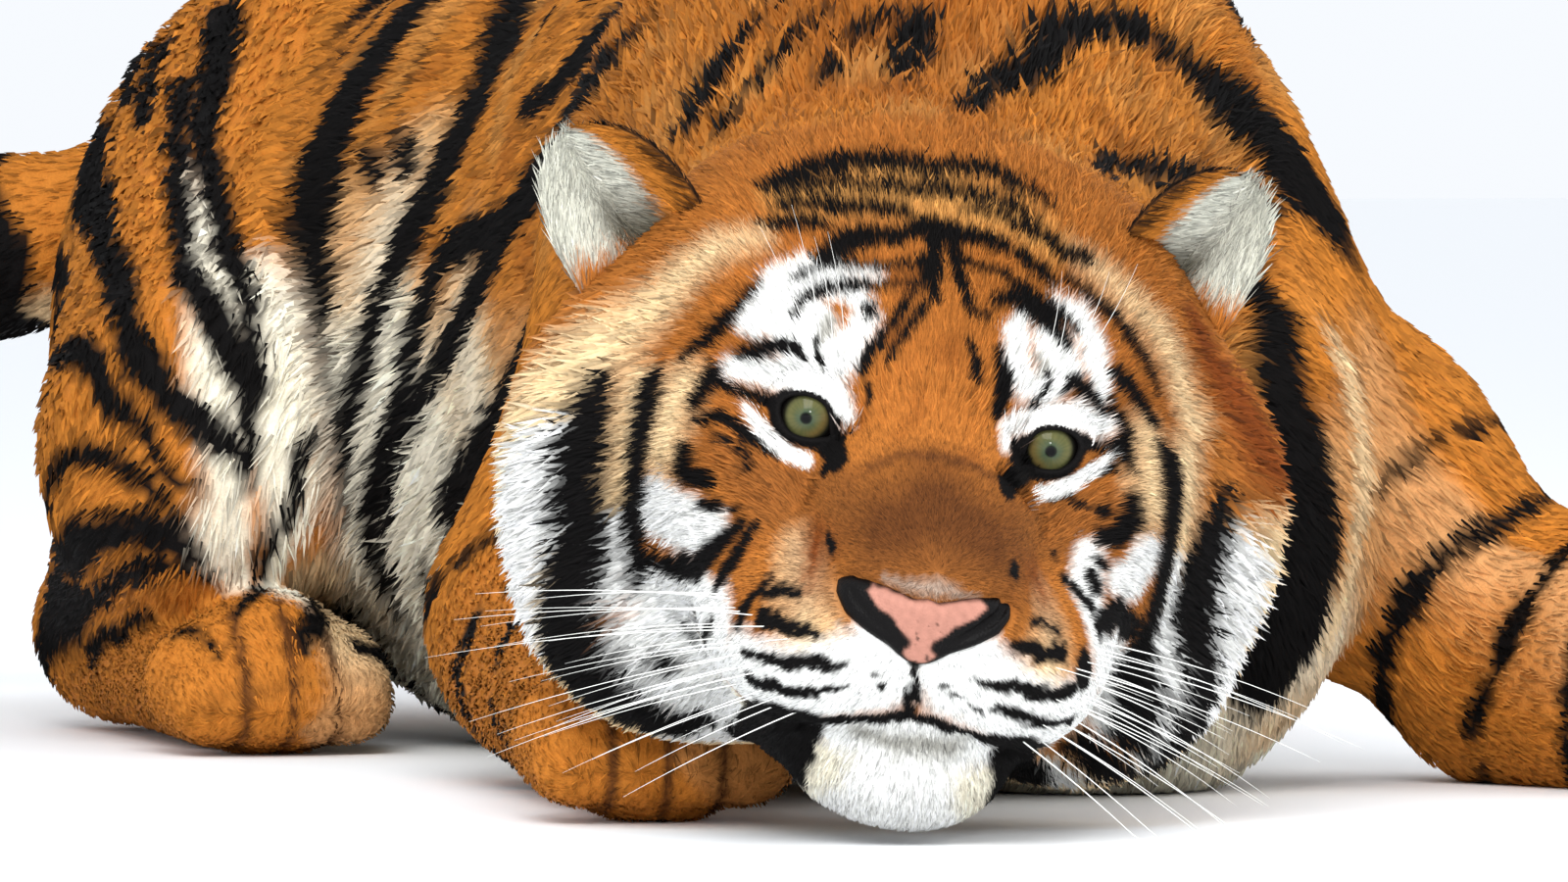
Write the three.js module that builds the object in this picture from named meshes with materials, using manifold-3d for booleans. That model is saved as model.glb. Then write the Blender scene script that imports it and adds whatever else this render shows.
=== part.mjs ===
// A Siberian tiger lying on its belly with its chin on the ground, life size, in millimetres.
// +Z is up, the trunk runs back along +Y, +X is the tiger's left. Head forms are sized in the
// head's own frame: x to its left, y to the back of the skull, z up, from between the eyes.
import * as THREE from "three";
import Module from "manifold-3d";

const wasm = await Module();
wasm.setup();

// Driving sizes
const EYE_HEIGHT = 185; // from the floor to the line of the eyes
const HEAD_HEADING = -30; // degrees that the head's base line turns from the trunk's
const HEAD_YAW = 6; // the nose turned to the tiger's left of that line
const HEAD_PITCH = 15; // the nose lowered
const HEAD_ROLL = 7.5; // the left eye lower than the right
const EYE_SPACING = 108; // between the centres of the eyeballs
const EYE_RADIUS = 18;
const EYE_BACK = -9; // the eyeball's centre, behind the eye line
const EYE_LIFT = 3;
const EAR_HEIGHT = 85;
const EAR_WIDTH = 75;
const EAR_DEPTH = 26;
const EAR_THICKNESS = 8;
const EAR_WIDEST = 0.25; // share of the height
const EAR_POSES = {
  left: { out: 106, height: 36, lean: 16, turn: 15, pitch: 8 },
  right: { out: 121, height: 26, lean: 36, turn: 10, pitch: 4 },
};
const FORE_PAW = 108; // across the toes
const HIND_PAW = 100;
const TAIL_ROOT_RADIUS = 38;
const TAIL_TIP_RADIUS = 23;
const MUZZLE_START = -30; // the plane between skull and muzzle
const MOUTH_LEVEL = -103; // the line of the closed lips
const RUFF_START = 98; // half width of the skull between the ruffs
const GAP = 0.3; // left between neighbours

const radians = THREE.MathUtils.degToRad;
const vec = (x, y, z) => new THREE.Vector3(x, y, z);
const turnAbout = (axis, degrees) =>
  new THREE.Matrix4().makeRotationAxis(vec(...axis).normalize(), radians(degrees));

// The head's frame in the body's frame
const headFrame = new THREE.Matrix4()
  .makeTranslation(0, 0, EYE_HEIGHT)
  .multiply(turnAbout([0, 0, 1], HEAD_HEADING))
  .multiply(turnAbout([0, 1, 0], HEAD_ROLL))
  .multiply(turnAbout([0, 0, 1], HEAD_YAW))
  .multiply(turnAbout([1, 0, 0], HEAD_PITCH));
const bodyFrame = new THREE.Matrix4();

// Forms: eggs and tapered limbs of flesh, each with the depth of coat over it
function egg(centre, radii, { blend = 40, coat = 18, turn = 0, frame = bodyFrame } = {}) {
  const place = frame.clone().multiply(new THREE.Matrix4().makeTranslation(...centre));
  place.multiply(turnAbout([1, 0, 0], turn));
  const inverse = place.clone().invert();
  const size = radii.map((r) => r + coat);
  const q = vec();
  const distance = (p) => {
    q.copy(p).applyMatrix4(inverse);
    const near = Math.hypot(q.x / size[0], q.y / size[1], q.z / size[2]);
    const slope = Math.hypot(q.x / size[0] ** 2, q.y / size[1] ** 2, q.z / size[2] ** 2);
    return slope > 1e-9 ? (near * (near - 1)) / slope : -Math.min(...size);
  };
  return { distance, blend };
}

function limb(from, to, startRadius, endRadius, { blend = 36, coat = 14, frame = bodyFrame } = {}) {
  const a = vec(...from).applyMatrix4(frame);
  const b = vec(...to).applyMatrix4(frame);
  const along = b.clone().sub(a);
  const q = vec();
  const distance = (p) => {
    q.copy(p).sub(a);
    const t = THREE.MathUtils.clamp(q.dot(along) / along.lengthSq(), 0, 1);
    return q.addScaledVector(along, -t).length() - startRadius - (endRadius - startRadius) * t - coat;
  };
  return { distance, blend };
}

// Forms flow into each other, and stop at the floor.
const flesh = (forms) => (p) => {
  let d = 1e3;
  for (const { distance, blend } of forms) {
    const e = distance(p);
    const h = Math.max(blend - Math.abs(d - e), 0) / blend;
    d = Math.min(d, e) - (h * h * blend) / 4;
  }
  return Math.max(d, -p.z);
};

const bothSides = (make) => [1, -1].flatMap(make);

function headForms() {
  const one = (centre, radii, blend, coat, turn = 0) =>
    egg(centre, radii, { blend, coat, turn, frame: headFrame });
  const pair = ([x, y, z], radii, blend, coat) =>
    bothSides((s) => [one([s * x, y, z], radii, blend, coat)]);
  const rails = ([x, y, z], [u, v, w], ra, rb, blend, coat) =>
    bothSides((s) => [limb([s * x, y, z], [s * u, v, w], ra, rb, { blend, coat, frame: headFrame })]);
  return [
    one([0, 106, 14], [78, 104, 66], 20, 12), // cranium
    one([0, 42, 8], [56, 64, 40], 26, 7), // forehead
    ...rails([22, 12, -12], [21, -98, -56], 30, 23, 14, 4), // sides of the nose
    one([0, -58, -22], [34, 72, 18], 14, 4, 20), // top of the nose
    one([0, -106, -58], [36, 18, 22], 12, 3), // end of the nose
    one([0, -62, -84], [54, 58, 42], 20, 4), // muzzle
    ...pair([39, -84, -84], [38, 38, 31], 14, 4), // whisker pads
    ...pair([50, -44, -84], [38, 46, 34], 20, 6), // back of the pads
    ...pair([55, 16, 0], [34, 25, 25], 16, 3), // eye orbits
    ...pair([46, 14, 26], [32, 26, 15], 16, 6), // brows
    ...pair([84, 58, -24], [36, 66, 42], 26, 14), // cheekbones
    ...pair([66, 16, -52], [36, 56, 40], 26, 8), // cheeks
    ...pair([66, 96, 18], [44, 72, 46], 24, 14), // temples
    ...pair([66, 66, -74], [50, 70, 60], 24, 22), // jaw muscles
    one([3, -74, -130], [36, 34, 27], 14, 8), // chin
    ...rails([18, -58, -122], [54, 58, -112], 28, 42, 18, 10), // jaw
    ...pair([110, 86, -60], [46, 42, 74], 26, 26), // ruffs
    ...pair([84, 62, -122], [52, 44, 36], 26, 22), // ruffs under the jaw
  ];
}

const inBody = (p) => vec(...p).applyMatrix4(headFrame).toArray();

const torsoForms = [
  limb(inBody([0, 130, -22]), [240, 410, 285], 104, 146, { blend: 50, coat: 26 }), // neck
  egg([150, 300, 165], [108, 130, 120], { blend: 50, coat: 24 }), // throat
  egg([272, 520, 230], [150, 250, 218], { blend: 50, coat: 20 }), // chest
  egg([228, 430, 330], [50, 130, 122], { coat: 16 }), // right shoulder blade
  egg([298, 416, 326], [48, 130, 122], { coat: 16 }), // left shoulder blade
  egg([150, 430, 225], [68, 98, 118], { coat: 16 }), // right shoulder
  egg([344, 360, 222], [64, 98, 116], { coat: 16 }), // left shoulder
  egg([286, 330, 128], [112, 120, 126], { blend: 50, coat: 20 }), // brisket
  egg([318, 800, 196], [170, 300, 190], { blend: 60, coat: 24 }), // belly
  egg([340, 860, 258], [125, 270, 150], { blend: 60 }), // loin
  egg([380, 1130, 286], [116, 180, 160], { blend: 60 }), // pelvis
  egg([388, 1220, 262], [92, 92, 122], { blend: 50 }), // rump
];

// A paw at its middle, pointing to heading: a heel and four toes side by side
function pawForms([x, y, z], heading, width) {
  const forward = vec(Math.sin(radians(heading)), -Math.cos(radians(heading)), 0);
  const side = vec(-forward.y, forward.x, 0);
  const at = (across, ahead, height) =>
    vec(x, y, height).addScaledVector(side, across).addScaledVector(forward, ahead).toArray();
  const toes = [-1.5, -0.5, 0.5, 1.5].map((n) => {
    const reach = 46 - 7 * Math.abs(n);
    const across = (n * width) / 4.4;
    return limb(at(across, reach - 30, z - 4), at(across * 1.06, reach, z - 12), 24, 17, {
      blend: 9,
      coat: 8,
    });
  });
  return [limb(at(0, -34, z), at(0, 10, z), 0.34 * width, 0.38 * width, { blend: 16, coat: 8 }), ...toes];
}

const tailLine = [
  [384, 1258, 288], [334, 1366, 274], [244, 1414, 250], [136, 1440, 205],
  [24, 1440, 126], [-86, 1395, 56], [-180, 1305, 42], [-240, 1190, 36],
];

// Rings of points round a line of centres, marched outward to where the flesh and its coat end.
// Each round end fans out from the line's end in rings of its own, up to a last point.
function wrap(forms, line, { along, around, ends, grow = 0 }) {
  const inside = flesh(forms);
  const curve = new THREE.CatmullRomCurve3(line.map((p) => vec(...p)), false, "centripetal");
  const reach = (centre, direction) => {
    const out = (d) => centre.clone().addScaledVector(direction, d);
    let far = 3;
    while (inside(out(far)) < grow && far < 900) far += 3;
    let near = far - 3;
    for (let i = 0; i < 16; i++) {
      const middle = (near + far) / 2;
      if (inside(out(middle)) < grow) near = middle;
      else far = middle;
    }
    const p = out((near + far) / 2);
    if (Math.abs(p.z + grow) < 0.05) p.z = -grow;
    return p;
  };
  const ring = (t, lean) => {
    const centre = curve.getPointAt(t);
    const forward = curve.getTangentAt(t);
    const side = vec(0, 0, 1).cross(forward).normalize();
    const up = forward.clone().cross(side);
    const points = Array.from({ length: around }, (_, i) => {
      const angle = (2 * Math.PI * i) / around;
      const direction = side.clone().multiplyScalar(Math.cos(angle) * Math.cos(lean));
      direction.addScaledVector(up, Math.sin(angle) * Math.cos(lean));
      return reach(centre, direction.addScaledVector(forward, Math.sin(lean)));
    });
    return { centre, forward, points };
  };
  const count = (n, make) => Array.from({ length: n }, (_, i) => make(i));
  const quarter = Math.PI / 2;
  return {
    start: ends[0],
    rings: [
      ...count(ends[0] - 1, (i) => ring(0, ((i + 1) / ends[0] - 1) * quarter)),
      ...count(along + 1, (i) => ring(i / along, 0)),
      ...count(ends[1] - 1, (i) => ring(1, ((i + 1) / ends[1]) * quarter)),
    ],
    first: reach(curve.getPointAt(0), curve.getTangentAt(0).negate()),
    last: reach(curve.getPointAt(1), curve.getTangentAt(1)),
  };
}

const whole = ({ rings, first, last }) => loft(rings.map((ring) => ring.points), first, last);

// One length of a wrap, between two of the rings along its line, flat where it meets the next
function length(wrapped, from, to) {
  const { rings, first, last, start } = wrapped;
  const part = rings.slice(from ? from + start - 1 : 0, to ? to + start : rings.length);
  const points = part.map((ring) => ring.points);
  const moved = (p, { forward }) => {
    const q = p.clone().addScaledVector(forward, -GAP);
    return q.setZ(Math.max(q.z, 0));
  };
  const lastRing = part.at(-1);
  if (to) points[points.length - 1] = lastRing.points.map((p) => moved(p, lastRing));
  return loft(points, from ? part[0].centre : first, to ? moved(lastRing.centre, lastRing) : last);
}

// Rings of points joined into one closed solid between two end points
function loft(rings, first, last) {
  const around = rings[0].length;
  const points = [...rings.flat(), first, last];
  const triangles = [];
  const start = points.length - 2;
  const index = (r, i) => r * around + (i % around);
  for (let i = 0; i < around; i++) {
    triangles.push(start, index(0, i + 1), index(0, i));
    triangles.push(start + 1, index(rings.length - 1, i), index(rings.length - 1, i + 1));
    for (let r = 0; r < rings.length - 1; r++) {
      const [a, b, c, d] = [index(r, i), index(r, i + 1), index(r + 1, i + 1), index(r + 1, i)];
      triangles.push(a, b, c, a, c, d);
    }
  }
  return solid(points.flatMap((p) => p.toArray()), triangles);
}

const solid = (positions, triangles) =>
  new wasm.Manifold(
    new wasm.Mesh({
      numProp: 3,
      vertProperties: Float32Array.from(positions),
      triVerts: Uint32Array.from(triangles),
    }),
  );

// A solid from a three.js geometry
function fromGeometry(geometry, frame) {
  const points = new Map();
  const place = geometry.clone().applyMatrix4(frame).toNonIndexed().getAttribute("position");
  const positions = [];
  const triangles = [];
  for (let i = 0; i < place.count; i++) {
    const p = [place.getX(i), place.getY(i), place.getZ(i)];
    const key = p.map((v) => Math.round(v * 100)).join();
    if (!points.has(key)) points.set(key, positions.push(...p) / 3 - 1);
    triangles.push(points.get(key));
  }
  const whole = [];
  for (let i = 0; i < triangles.length; i += 3) {
    const [a, b, c] = triangles.slice(i, i + 3);
    if (a !== b && b !== c && c !== a) whole.push(a, b, c);
  }
  return solid(positions, whole);
}

function block(low, high, frame) {
  const [x, y, z] = high.map((h, i) => h - low[i]);
  const centre = new THREE.Matrix4().makeTranslation(...high.map((h, i) => (h + low[i]) / 2));
  return fromGeometry(new THREE.BoxGeometry(x, y, z), frame.clone().multiply(centre));
}

function eyeball(side, grow) {
  const place = new THREE.Matrix4().makeTranslation(side * (EYE_SPACING / 2), EYE_BACK, EYE_LIFT);
  const ball = new THREE.SphereGeometry(EYE_RADIUS + grow, 12, 8);
  return fromGeometry(ball, headFrame.clone().multiply(place));
}

// An ear: a cup with its hollow to the front, standing on the side of the crown
function ear(side) {
  const rows = 8;
  const columns = 6;
  const { out, height, lean, turn, pitch } = side > 0 ? EAR_POSES.left : EAR_POSES.right;
  const stand = headFrame
    .clone()
    .multiply(new THREE.Matrix4().makeTranslation(side * out, 92, height))
    .multiply(turnAbout([0, 1, 0], side * lean))
    .multiply(turnAbout([0, 0, 1], side * turn))
    .multiply(turnAbout([1, 0, 0], pitch));
  const place = (t, across, thickness) => {
    const width =
      t < EAR_WIDEST
        ? 0.9 + 0.1 * Math.sin((t / EAR_WIDEST) * (Math.PI / 2))
        : Math.sqrt(1 - ((t - EAR_WIDEST) / (1.01 - EAR_WIDEST)) ** 1.7);
    const hollow = EAR_DEPTH * (1 - 0.75 * t) * (1 - across ** 2) * width;
    return vec((EAR_WIDTH / 2) * width * across, hollow + thickness, t * (EAR_HEIGHT + 18) - 18);
  };
  const rim = (t) => Math.min(1, 6 * (1.02 - t));
  const rings = [];
  for (let r = 0; r <= rows; r++) {
    const t = Math.min(r / rows, 0.985);
    const front = [];
    const back = [];
    for (let c = 0; c <= columns; c++) {
      const across = (2 * c) / columns - 1;
      const thickness = EAR_THICKNESS * rim(t) * (1 - 0.55 * across ** 4);
      front.push(place(t, across, -thickness / 2).applyMatrix4(stand));
      back.push(place(t, -across, thickness / 2).applyMatrix4(stand));
    }
    rings.push([...front, ...back]);
  }
  const middle = (ring) => ring.reduce((sum, p) => sum.add(p), vec(0, 0, 0)).divideScalar(ring.length);
  return loft(rings, middle(rings[0]), middle(rings.at(-1)));
}

const bare = { coat: 2, frame: headFrame };

// The wraps, each with a slightly larger copy that cuts its neighbours
const shapes = {
  head: [
    headForms(),
    [[0, 150, -14], [0, 40, -34], [0, -62, -84]].map(inBody),
    { along: 11, around: 34, ends: [2, 7] },
  ],
  nose: [
    [
      ...bothSides((s) => [egg([s * 22, -112, -49], [17, 16, 14], { ...bare, blend: 10 })]), // nostrils
      egg([0, -115, -45], [26, 14, 12], { ...bare, blend: 10 }), // top
      egg([0, -119, -63], [14, 10, 18], { ...bare, blend: 10 }), // groove down to the lip
    ],
    [[-17, -113, -49], [17, -113, -49]].map(inBody),
    { along: 4, around: 9, ends: [3, 3] },
  ],
  torso: [
    torsoForms,
    [inBody([0, 160, -24]), [158, 300, 225], [236, 430, 252], [284, 580, 240], [316, 760, 222],
      [350, 960, 235], [380, 1150, 262]],
    { along: 18, around: 22, ends: [2, 4] },
  ],
  right_upper_arm: [
    [
      limb([146, 410, 232], [102, 512, 88], 74, 56),
      egg([140, 500, 150], [48, 62, 74], { blend: 30, coat: 14 }),
    ],
    [[140, 424, 212], [104, 508, 92]],
    { along: 3, around: 11, ends: [2, 3] },
  ],
  right_forearm: [
    [
      limb([98, 505, 68], [8, 290, 50], 54, 40, { blend: 24, coat: 12 }),
      egg([80, 450, 72], [48, 76, 52], { blend: 24, coat: 12 }),
    ],
    [[96, 500, 64], [10, 296, 48]],
    { along: 5, around: 11, ends: [2, 3] },
  ],
  right_fore_paw: [
    pawForms([-26, 206, 42], -22, FORE_PAW),
    [[-18, 224, 40], [-38, 176, 34]],
    { along: 2, around: 15, ends: [2, 4] },
  ],
  left_upper_arm: [
    [
      limb([350, 340, 214], [500, 296, 70], 70, 50),
      egg([440, 340, 140], [70, 50, 72], { blend: 30, coat: 14 }),
    ],
    [[372, 334, 196], [494, 297, 76]],
    { along: 3, around: 11, ends: [2, 3] },
  ],
  left_forearm: [
    [
      limb([504, 284, 60], [566, 6, 50], 54, 40, { blend: 24, coat: 12 }),
      egg([514, 234, 64], [48, 84, 52], { blend: 24, coat: 12 }),
    ],
    [[506, 276, 60], [565, 14, 48]],
    { along: 5, around: 11, ends: [2, 3] },
  ],
  left_fore_paw: [
    pawForms([580, -66, 42], 10, FORE_PAW),
    [[577, -48, 40], [586, -98, 34]],
    { along: 2, around: 15, ends: [2, 4] },
  ],
  right_thigh: [
    [
      limb([302, 1140, 278], [118, 915, 166], 112, 76, { blend: 50, coat: 18 }),
      egg([244, 1110, 186], [78, 140, 118], { blend: 50, coat: 18 }),
    ],
    [[292, 1126, 240], [122, 920, 150]],
    { along: 4, around: 13, ends: [2, 4] },
  ],
  right_lower_leg: [
    [
      limb([104, 900, 140], [172, 1110, 58], 62, 38, { blend: 30, coat: 14 }),
      limb([168, 1112, 50], [118, 910, 44], 36, 36, { blend: 20, coat: 10 }),
    ],
    [[110, 910, 90], [166, 1096, 56]],
    { along: 4, around: 10, ends: [2, 3] },
  ],
  right_hind_paw: [
    pawForms([110, 850, 40], -13, HIND_PAW),
    [[115, 868, 38], [103, 818, 34]],
    { along: 2, around: 15, ends: [2, 4] },
  ],
  left_thigh: [
    [
      limb([466, 1120, 278], [572, 860, 166], 112, 76, { blend: 50, coat: 18 }),
      egg([494, 1090, 186], [78, 140, 118], { blend: 50, coat: 18 }),
    ],
    [[474, 1106, 240], [570, 866, 150]],
    { along: 4, around: 13, ends: [2, 4] },
  ],
  left_lower_leg: [
    [
      limb([576, 846, 140], [556, 1066, 58], 62, 38, { blend: 30, coat: 14 }),
      limb([560, 1066, 50], [556, 862, 44], 36, 36, { blend: 20, coat: 10 }),
    ],
    [[573, 858, 90], [558, 1052, 56]],
    { along: 4, around: 10, ends: [2, 3] },
  ],
  left_hind_paw: [
    pawForms([552, 800, 40], -2, HIND_PAW),
    [[553, 818, 38], [551, 768, 34]],
    { along: 2, around: 15, ends: [2, 4] },
  ],
  tail: [
    tailLine.slice(1).map((to, i) => {
      const radius = (n) => THREE.MathUtils.lerp(TAIL_ROOT_RADIUS, TAIL_TIP_RADIUS, n / (tailLine.length - 1));
      return limb(tailLine[i], to, radius(i), radius(i + 1), { blend: 26, coat: 12 });
    }),
    tailLine,
    { along: 20, around: 8, ends: [2, 3] },
  ],
};
const wraps = {};
const made = {};
const cutter = {};
for (const [name, [forms, line, size]] of Object.entries(shapes)) {
  wraps[name] = wrap(forms, line, size);
  made[name] = whole(wraps[name]);
  cutter[name] = whole(wrap(forms, line, { ...size, grow: GAP }));
}

// The head, divided into skull, muzzle, lower jaw and the two ruffs
const far = 400;
const regions = (grow) => ({
  muzzle: block([-far, -far, MOUTH_LEVEL - grow], [far, MUZZLE_START + grow, far], headFrame),
  lower_jaw: block(
    [-RUFF_START - grow / 2, -far, -far],
    [RUFF_START + grow / 2, 64 + grow, MOUTH_LEVEL - GAP + grow],
    headFrame,
  ),
  left_ruff: block([RUFF_START + GAP - grow, MUZZLE_START + GAP, -far], [far, far, 24 + grow], headFrame),
  right_ruff: block([-far, MUZZLE_START + GAP, -far], [grow - RUFF_START - GAP, far, 24 + grow], headFrame),
});
const pieces = {};
for (const [name, region] of Object.entries(regions(0))) pieces[name] = made.head.intersect(region);
pieces.skull = Object.values(regions(GAP)).reduce((rest, region) => rest.subtract(region), made.head);
pieces.muzzle = pieces.muzzle.subtract(cutter.nose);
pieces.nose = made.nose;
for (const [name, side] of [["left", 1], ["right", -1]]) {
  pieces.skull = pieces.skull.subtract(eyeball(side, GAP));
  pieces[name + "_eye"] = eyeball(side, 0);
  pieces[name + "_ear"] = ear(side).subtract(cutter.head);
}

// The torso's lengths, from the head back
const torsoLengths = { neck: [0, 5], chest: [5, 10], belly: [10, 14], rump: [14, 0] };
for (const [name, ends] of Object.entries(torsoLengths)) pieces[name] = length(wraps.torso, ...ends);
pieces.neck = pieces.neck.subtract(cutter.head);

// Each limb gives way to what it grows from.
const grows = {
  right_upper_arm: ["torso"],
  right_forearm: ["right_upper_arm", "torso", "head"],
  right_fore_paw: ["right_forearm", "torso", "head"],
  left_upper_arm: ["torso"],
  left_forearm: ["left_upper_arm", "torso"],
  left_fore_paw: ["left_forearm"],
  right_thigh: ["torso"],
  right_lower_leg: ["right_thigh", "torso"],
  right_hind_paw: ["right_lower_leg", "right_thigh", "torso"],
  left_thigh: ["torso"],
  left_lower_leg: ["left_thigh", "torso"],
  left_hind_paw: ["left_lower_leg", "left_thigh", "torso"],
};
for (const [name, neighbours] of Object.entries(grows))
  pieces[name] = neighbours.reduce((piece, other) => piece.subtract(cutter[other]), made[name]);

const tailLengths = { tail_root: [0, 5], tail_middle: [5, 10], tail_end: [10, 15], tail_tip: [15, 0] };
for (const [name, ends] of Object.entries(tailLengths)) pieces[name] = length(wraps.tail, ...ends);
pieces.tail_root = pieces.tail_root.subtract(cutter.torso);

// Colours of the coat and the bare parts
const orange = new THREE.MeshStandardMaterial({ color: "#c9772b", roughness: 0.9, metalness: 0 });
const cream = new THREE.MeshStandardMaterial({ color: "#e6dccb", roughness: 0.9, metalness: 0 });
const grey = new THREE.MeshStandardMaterial({ color: "#c4bcb0", roughness: 0.9, metalness: 0 });
const leather = new THREE.MeshStandardMaterial({ color: "#c98379", roughness: 0.45, metalness: 0 });
const wet = new THREE.MeshStandardMaterial({ color: "#7d8a5a", roughness: 0.1, metalness: 0 });
const materials = {
  nose: leather,
  left_eye: wet,
  right_eye: wet,
  lower_jaw: cream,
  left_ruff: cream,
  right_ruff: cream,
  left_ear: grey,
  right_ear: grey,
};

const tiger = new THREE.Group();
tiger.name = "tiger";
for (const [name, piece] of Object.entries(pieces)) {
  const { vertProperties, triVerts, numProp } = piece.getMesh();
  const geometry = new THREE.BufferGeometry();
  geometry.setAttribute("position", new THREE.BufferAttribute(vertProperties, numProp));
  geometry.setIndex(new THREE.BufferAttribute(triVerts, 1));
  geometry.computeVertexNormals();
  const mesh = new THREE.Mesh(geometry, materials[name] ?? orange);
  mesh.name = name;
  tiger.add(mesh);
}

// The origin is on the floor, at the middle of the tiger's box.
const size = new THREE.Box3().setFromObject(tiger, true);
const middle = size.getCenter(vec());
tiger.position.set(-middle.x, -middle.y, -size.min.z);

export default tiger;
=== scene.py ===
from math import atan, cos, pi, radians, sin, tan

import bmesh
import bpy
import numpy as np
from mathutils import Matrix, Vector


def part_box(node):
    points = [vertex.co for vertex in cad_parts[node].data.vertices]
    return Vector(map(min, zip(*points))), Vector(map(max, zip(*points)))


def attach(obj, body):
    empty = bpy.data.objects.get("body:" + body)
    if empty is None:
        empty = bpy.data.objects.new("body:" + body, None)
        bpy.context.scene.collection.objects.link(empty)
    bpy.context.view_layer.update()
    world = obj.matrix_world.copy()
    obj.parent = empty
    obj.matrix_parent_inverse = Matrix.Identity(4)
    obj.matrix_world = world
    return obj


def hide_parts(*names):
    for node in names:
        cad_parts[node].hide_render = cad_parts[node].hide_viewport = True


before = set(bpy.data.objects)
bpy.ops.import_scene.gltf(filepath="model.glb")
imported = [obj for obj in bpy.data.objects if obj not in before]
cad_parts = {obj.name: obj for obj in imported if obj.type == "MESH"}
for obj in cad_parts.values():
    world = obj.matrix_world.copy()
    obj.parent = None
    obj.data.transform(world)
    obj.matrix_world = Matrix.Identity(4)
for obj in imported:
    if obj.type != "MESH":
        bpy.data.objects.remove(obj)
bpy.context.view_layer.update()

# ---- Driving sizes, in millimetres and degrees
EYE_HEIGHT = 185
HEAD_HEADING = -30
HEAD_ROLL = 7.5
HEAD_YAW = 6
HEAD_PITCH = 15
EYE = (54, -9, 3)  # the left eyeball's centre, in the head's frame
EYE_RADIUS = 18
EAR_HEIGHT = 85
EAR_WIDTH = 75
EAR_DEPTH = 26
EAR_THICKNESS = 8
EAR_WIDEST = 0.4  # share of the height
EAR_ROUNDNESS = 2.3  # 2 is an ellipse above the widest place
EAR_ROOT = 18  # sunk in the head
EAR_INSET = 2.5  # of the skin from the tips of the ear's coat
EAR_BACK = 92
EAR_POSES = {  # out, height, and leans to the side, about and back
    1: (106, 36, 16, 15, 8),
    -1: (121, 26, 36, 10, 4),
}
FORE_PAW = 108
HIND_PAW = 100
TAIL_RADII = (38, 23)
SKIN = 0.0  # how far through the coat a surface lies
TIPS = 1.0
SKIN_FLOOR = 1.0  # the skin's height over the floor where it rests
CELL = 8.0  # of the grid that the skin is drawn on


# ---- Frames
def turn_about(axis, degrees):
    x, y, z = axis
    c, s = cos(radians(degrees)), sin(radians(degrees))
    cross = np.array([[0, -z, y], [z, 0, -x], [-y, x, 0]], float)
    return np.eye(3) + s * cross + (1 - c) * (cross @ cross)


HEAD = (
    turn_about((0, 0, 1), HEAD_HEADING)
    @ turn_about((0, 1, 0), HEAD_ROLL)
    @ turn_about((0, 0, 1), HEAD_YAW)
    @ turn_about((1, 0, 0), HEAD_PITCH)
)
EYES = np.array([0, 0, EYE_HEIGHT], float)


def from_head(points):
    return EYES + np.asarray(points, float) @ HEAD.T


def to_head(points):
    return (points - EYES) @ HEAD


def unit(v):
    return v / np.maximum(np.linalg.norm(v, axis=-1, keepdims=True), 1e-9)


def ease(value, start, end):
    t = np.clip((value - start) / (end - start), 0, 1)
    return t * t * (3 - 2 * t)


def mirror(point, side):
    return (side * point[0], *point[1:])


# ---- Forms: eggs and tapered limbs of flesh, each with the depth of its coat and the way that its hair lies
class Form:
    def over(self, grow):
        """How far out of the flesh a surface stands, between SKIN and TIPS."""
        return self.coat - (1 - grow) * (0.25 * self.coat + 0.012 * self.coat ** 2)


class Egg(Form):
    def __init__(self, centre, radii, blend=40, coat=18, turn=0, lie=(0.2, 1, -0.45), in_head=False):
        self.blend, self.coat, self.in_head = blend, coat, in_head
        self.axes = (HEAD if in_head else np.eye(3)) @ turn_about((1, 0, 0), turn)
        self.centre = from_head(centre) if in_head else np.array(centre, float)
        self.radii = np.array(radii, float)
        self.lie = np.array(lie, float)

    def box(self, grow):
        half = np.sqrt(((self.axes * (self.radii + self.over(grow))) ** 2).sum(1))
        return self.centre - half, self.centre + half

    def distance(self, p, grow):
        size = self.radii + self.over(grow)
        q = (p - self.centre) @ self.axes / size
        near = np.sqrt((q ** 2).sum(-1))
        slope = np.sqrt(((q / size) ** 2).sum(-1))
        return near * (near - 1) / np.maximum(slope, 1e-9)


class Limb(Form):
    def __init__(self, start, end, start_radius, end_radius, blend=36, coat=14, in_head=False):
        self.blend, self.coat, self.in_head = blend, coat, in_head
        place = from_head if in_head else (lambda p: np.array(p, float))
        self.start, self.end = place(start), place(end)
        self.radii = start_radius, end_radius
        self.lie = unit(self.end - self.start)

    def box(self, grow):
        reach = max(self.radii) + self.over(grow)
        return np.minimum(self.start, self.end) - reach, np.maximum(self.start, self.end) + reach

    def distance(self, p, grow):
        along = self.end - self.start
        t = np.clip((p - self.start) @ along / (along @ along), 0, 1)
        out = np.linalg.norm(p - self.start - t[..., None] * along, axis=-1)
        return out - self.radii[0] - (self.radii[1] - self.radii[0]) * t - self.over(grow)


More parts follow.
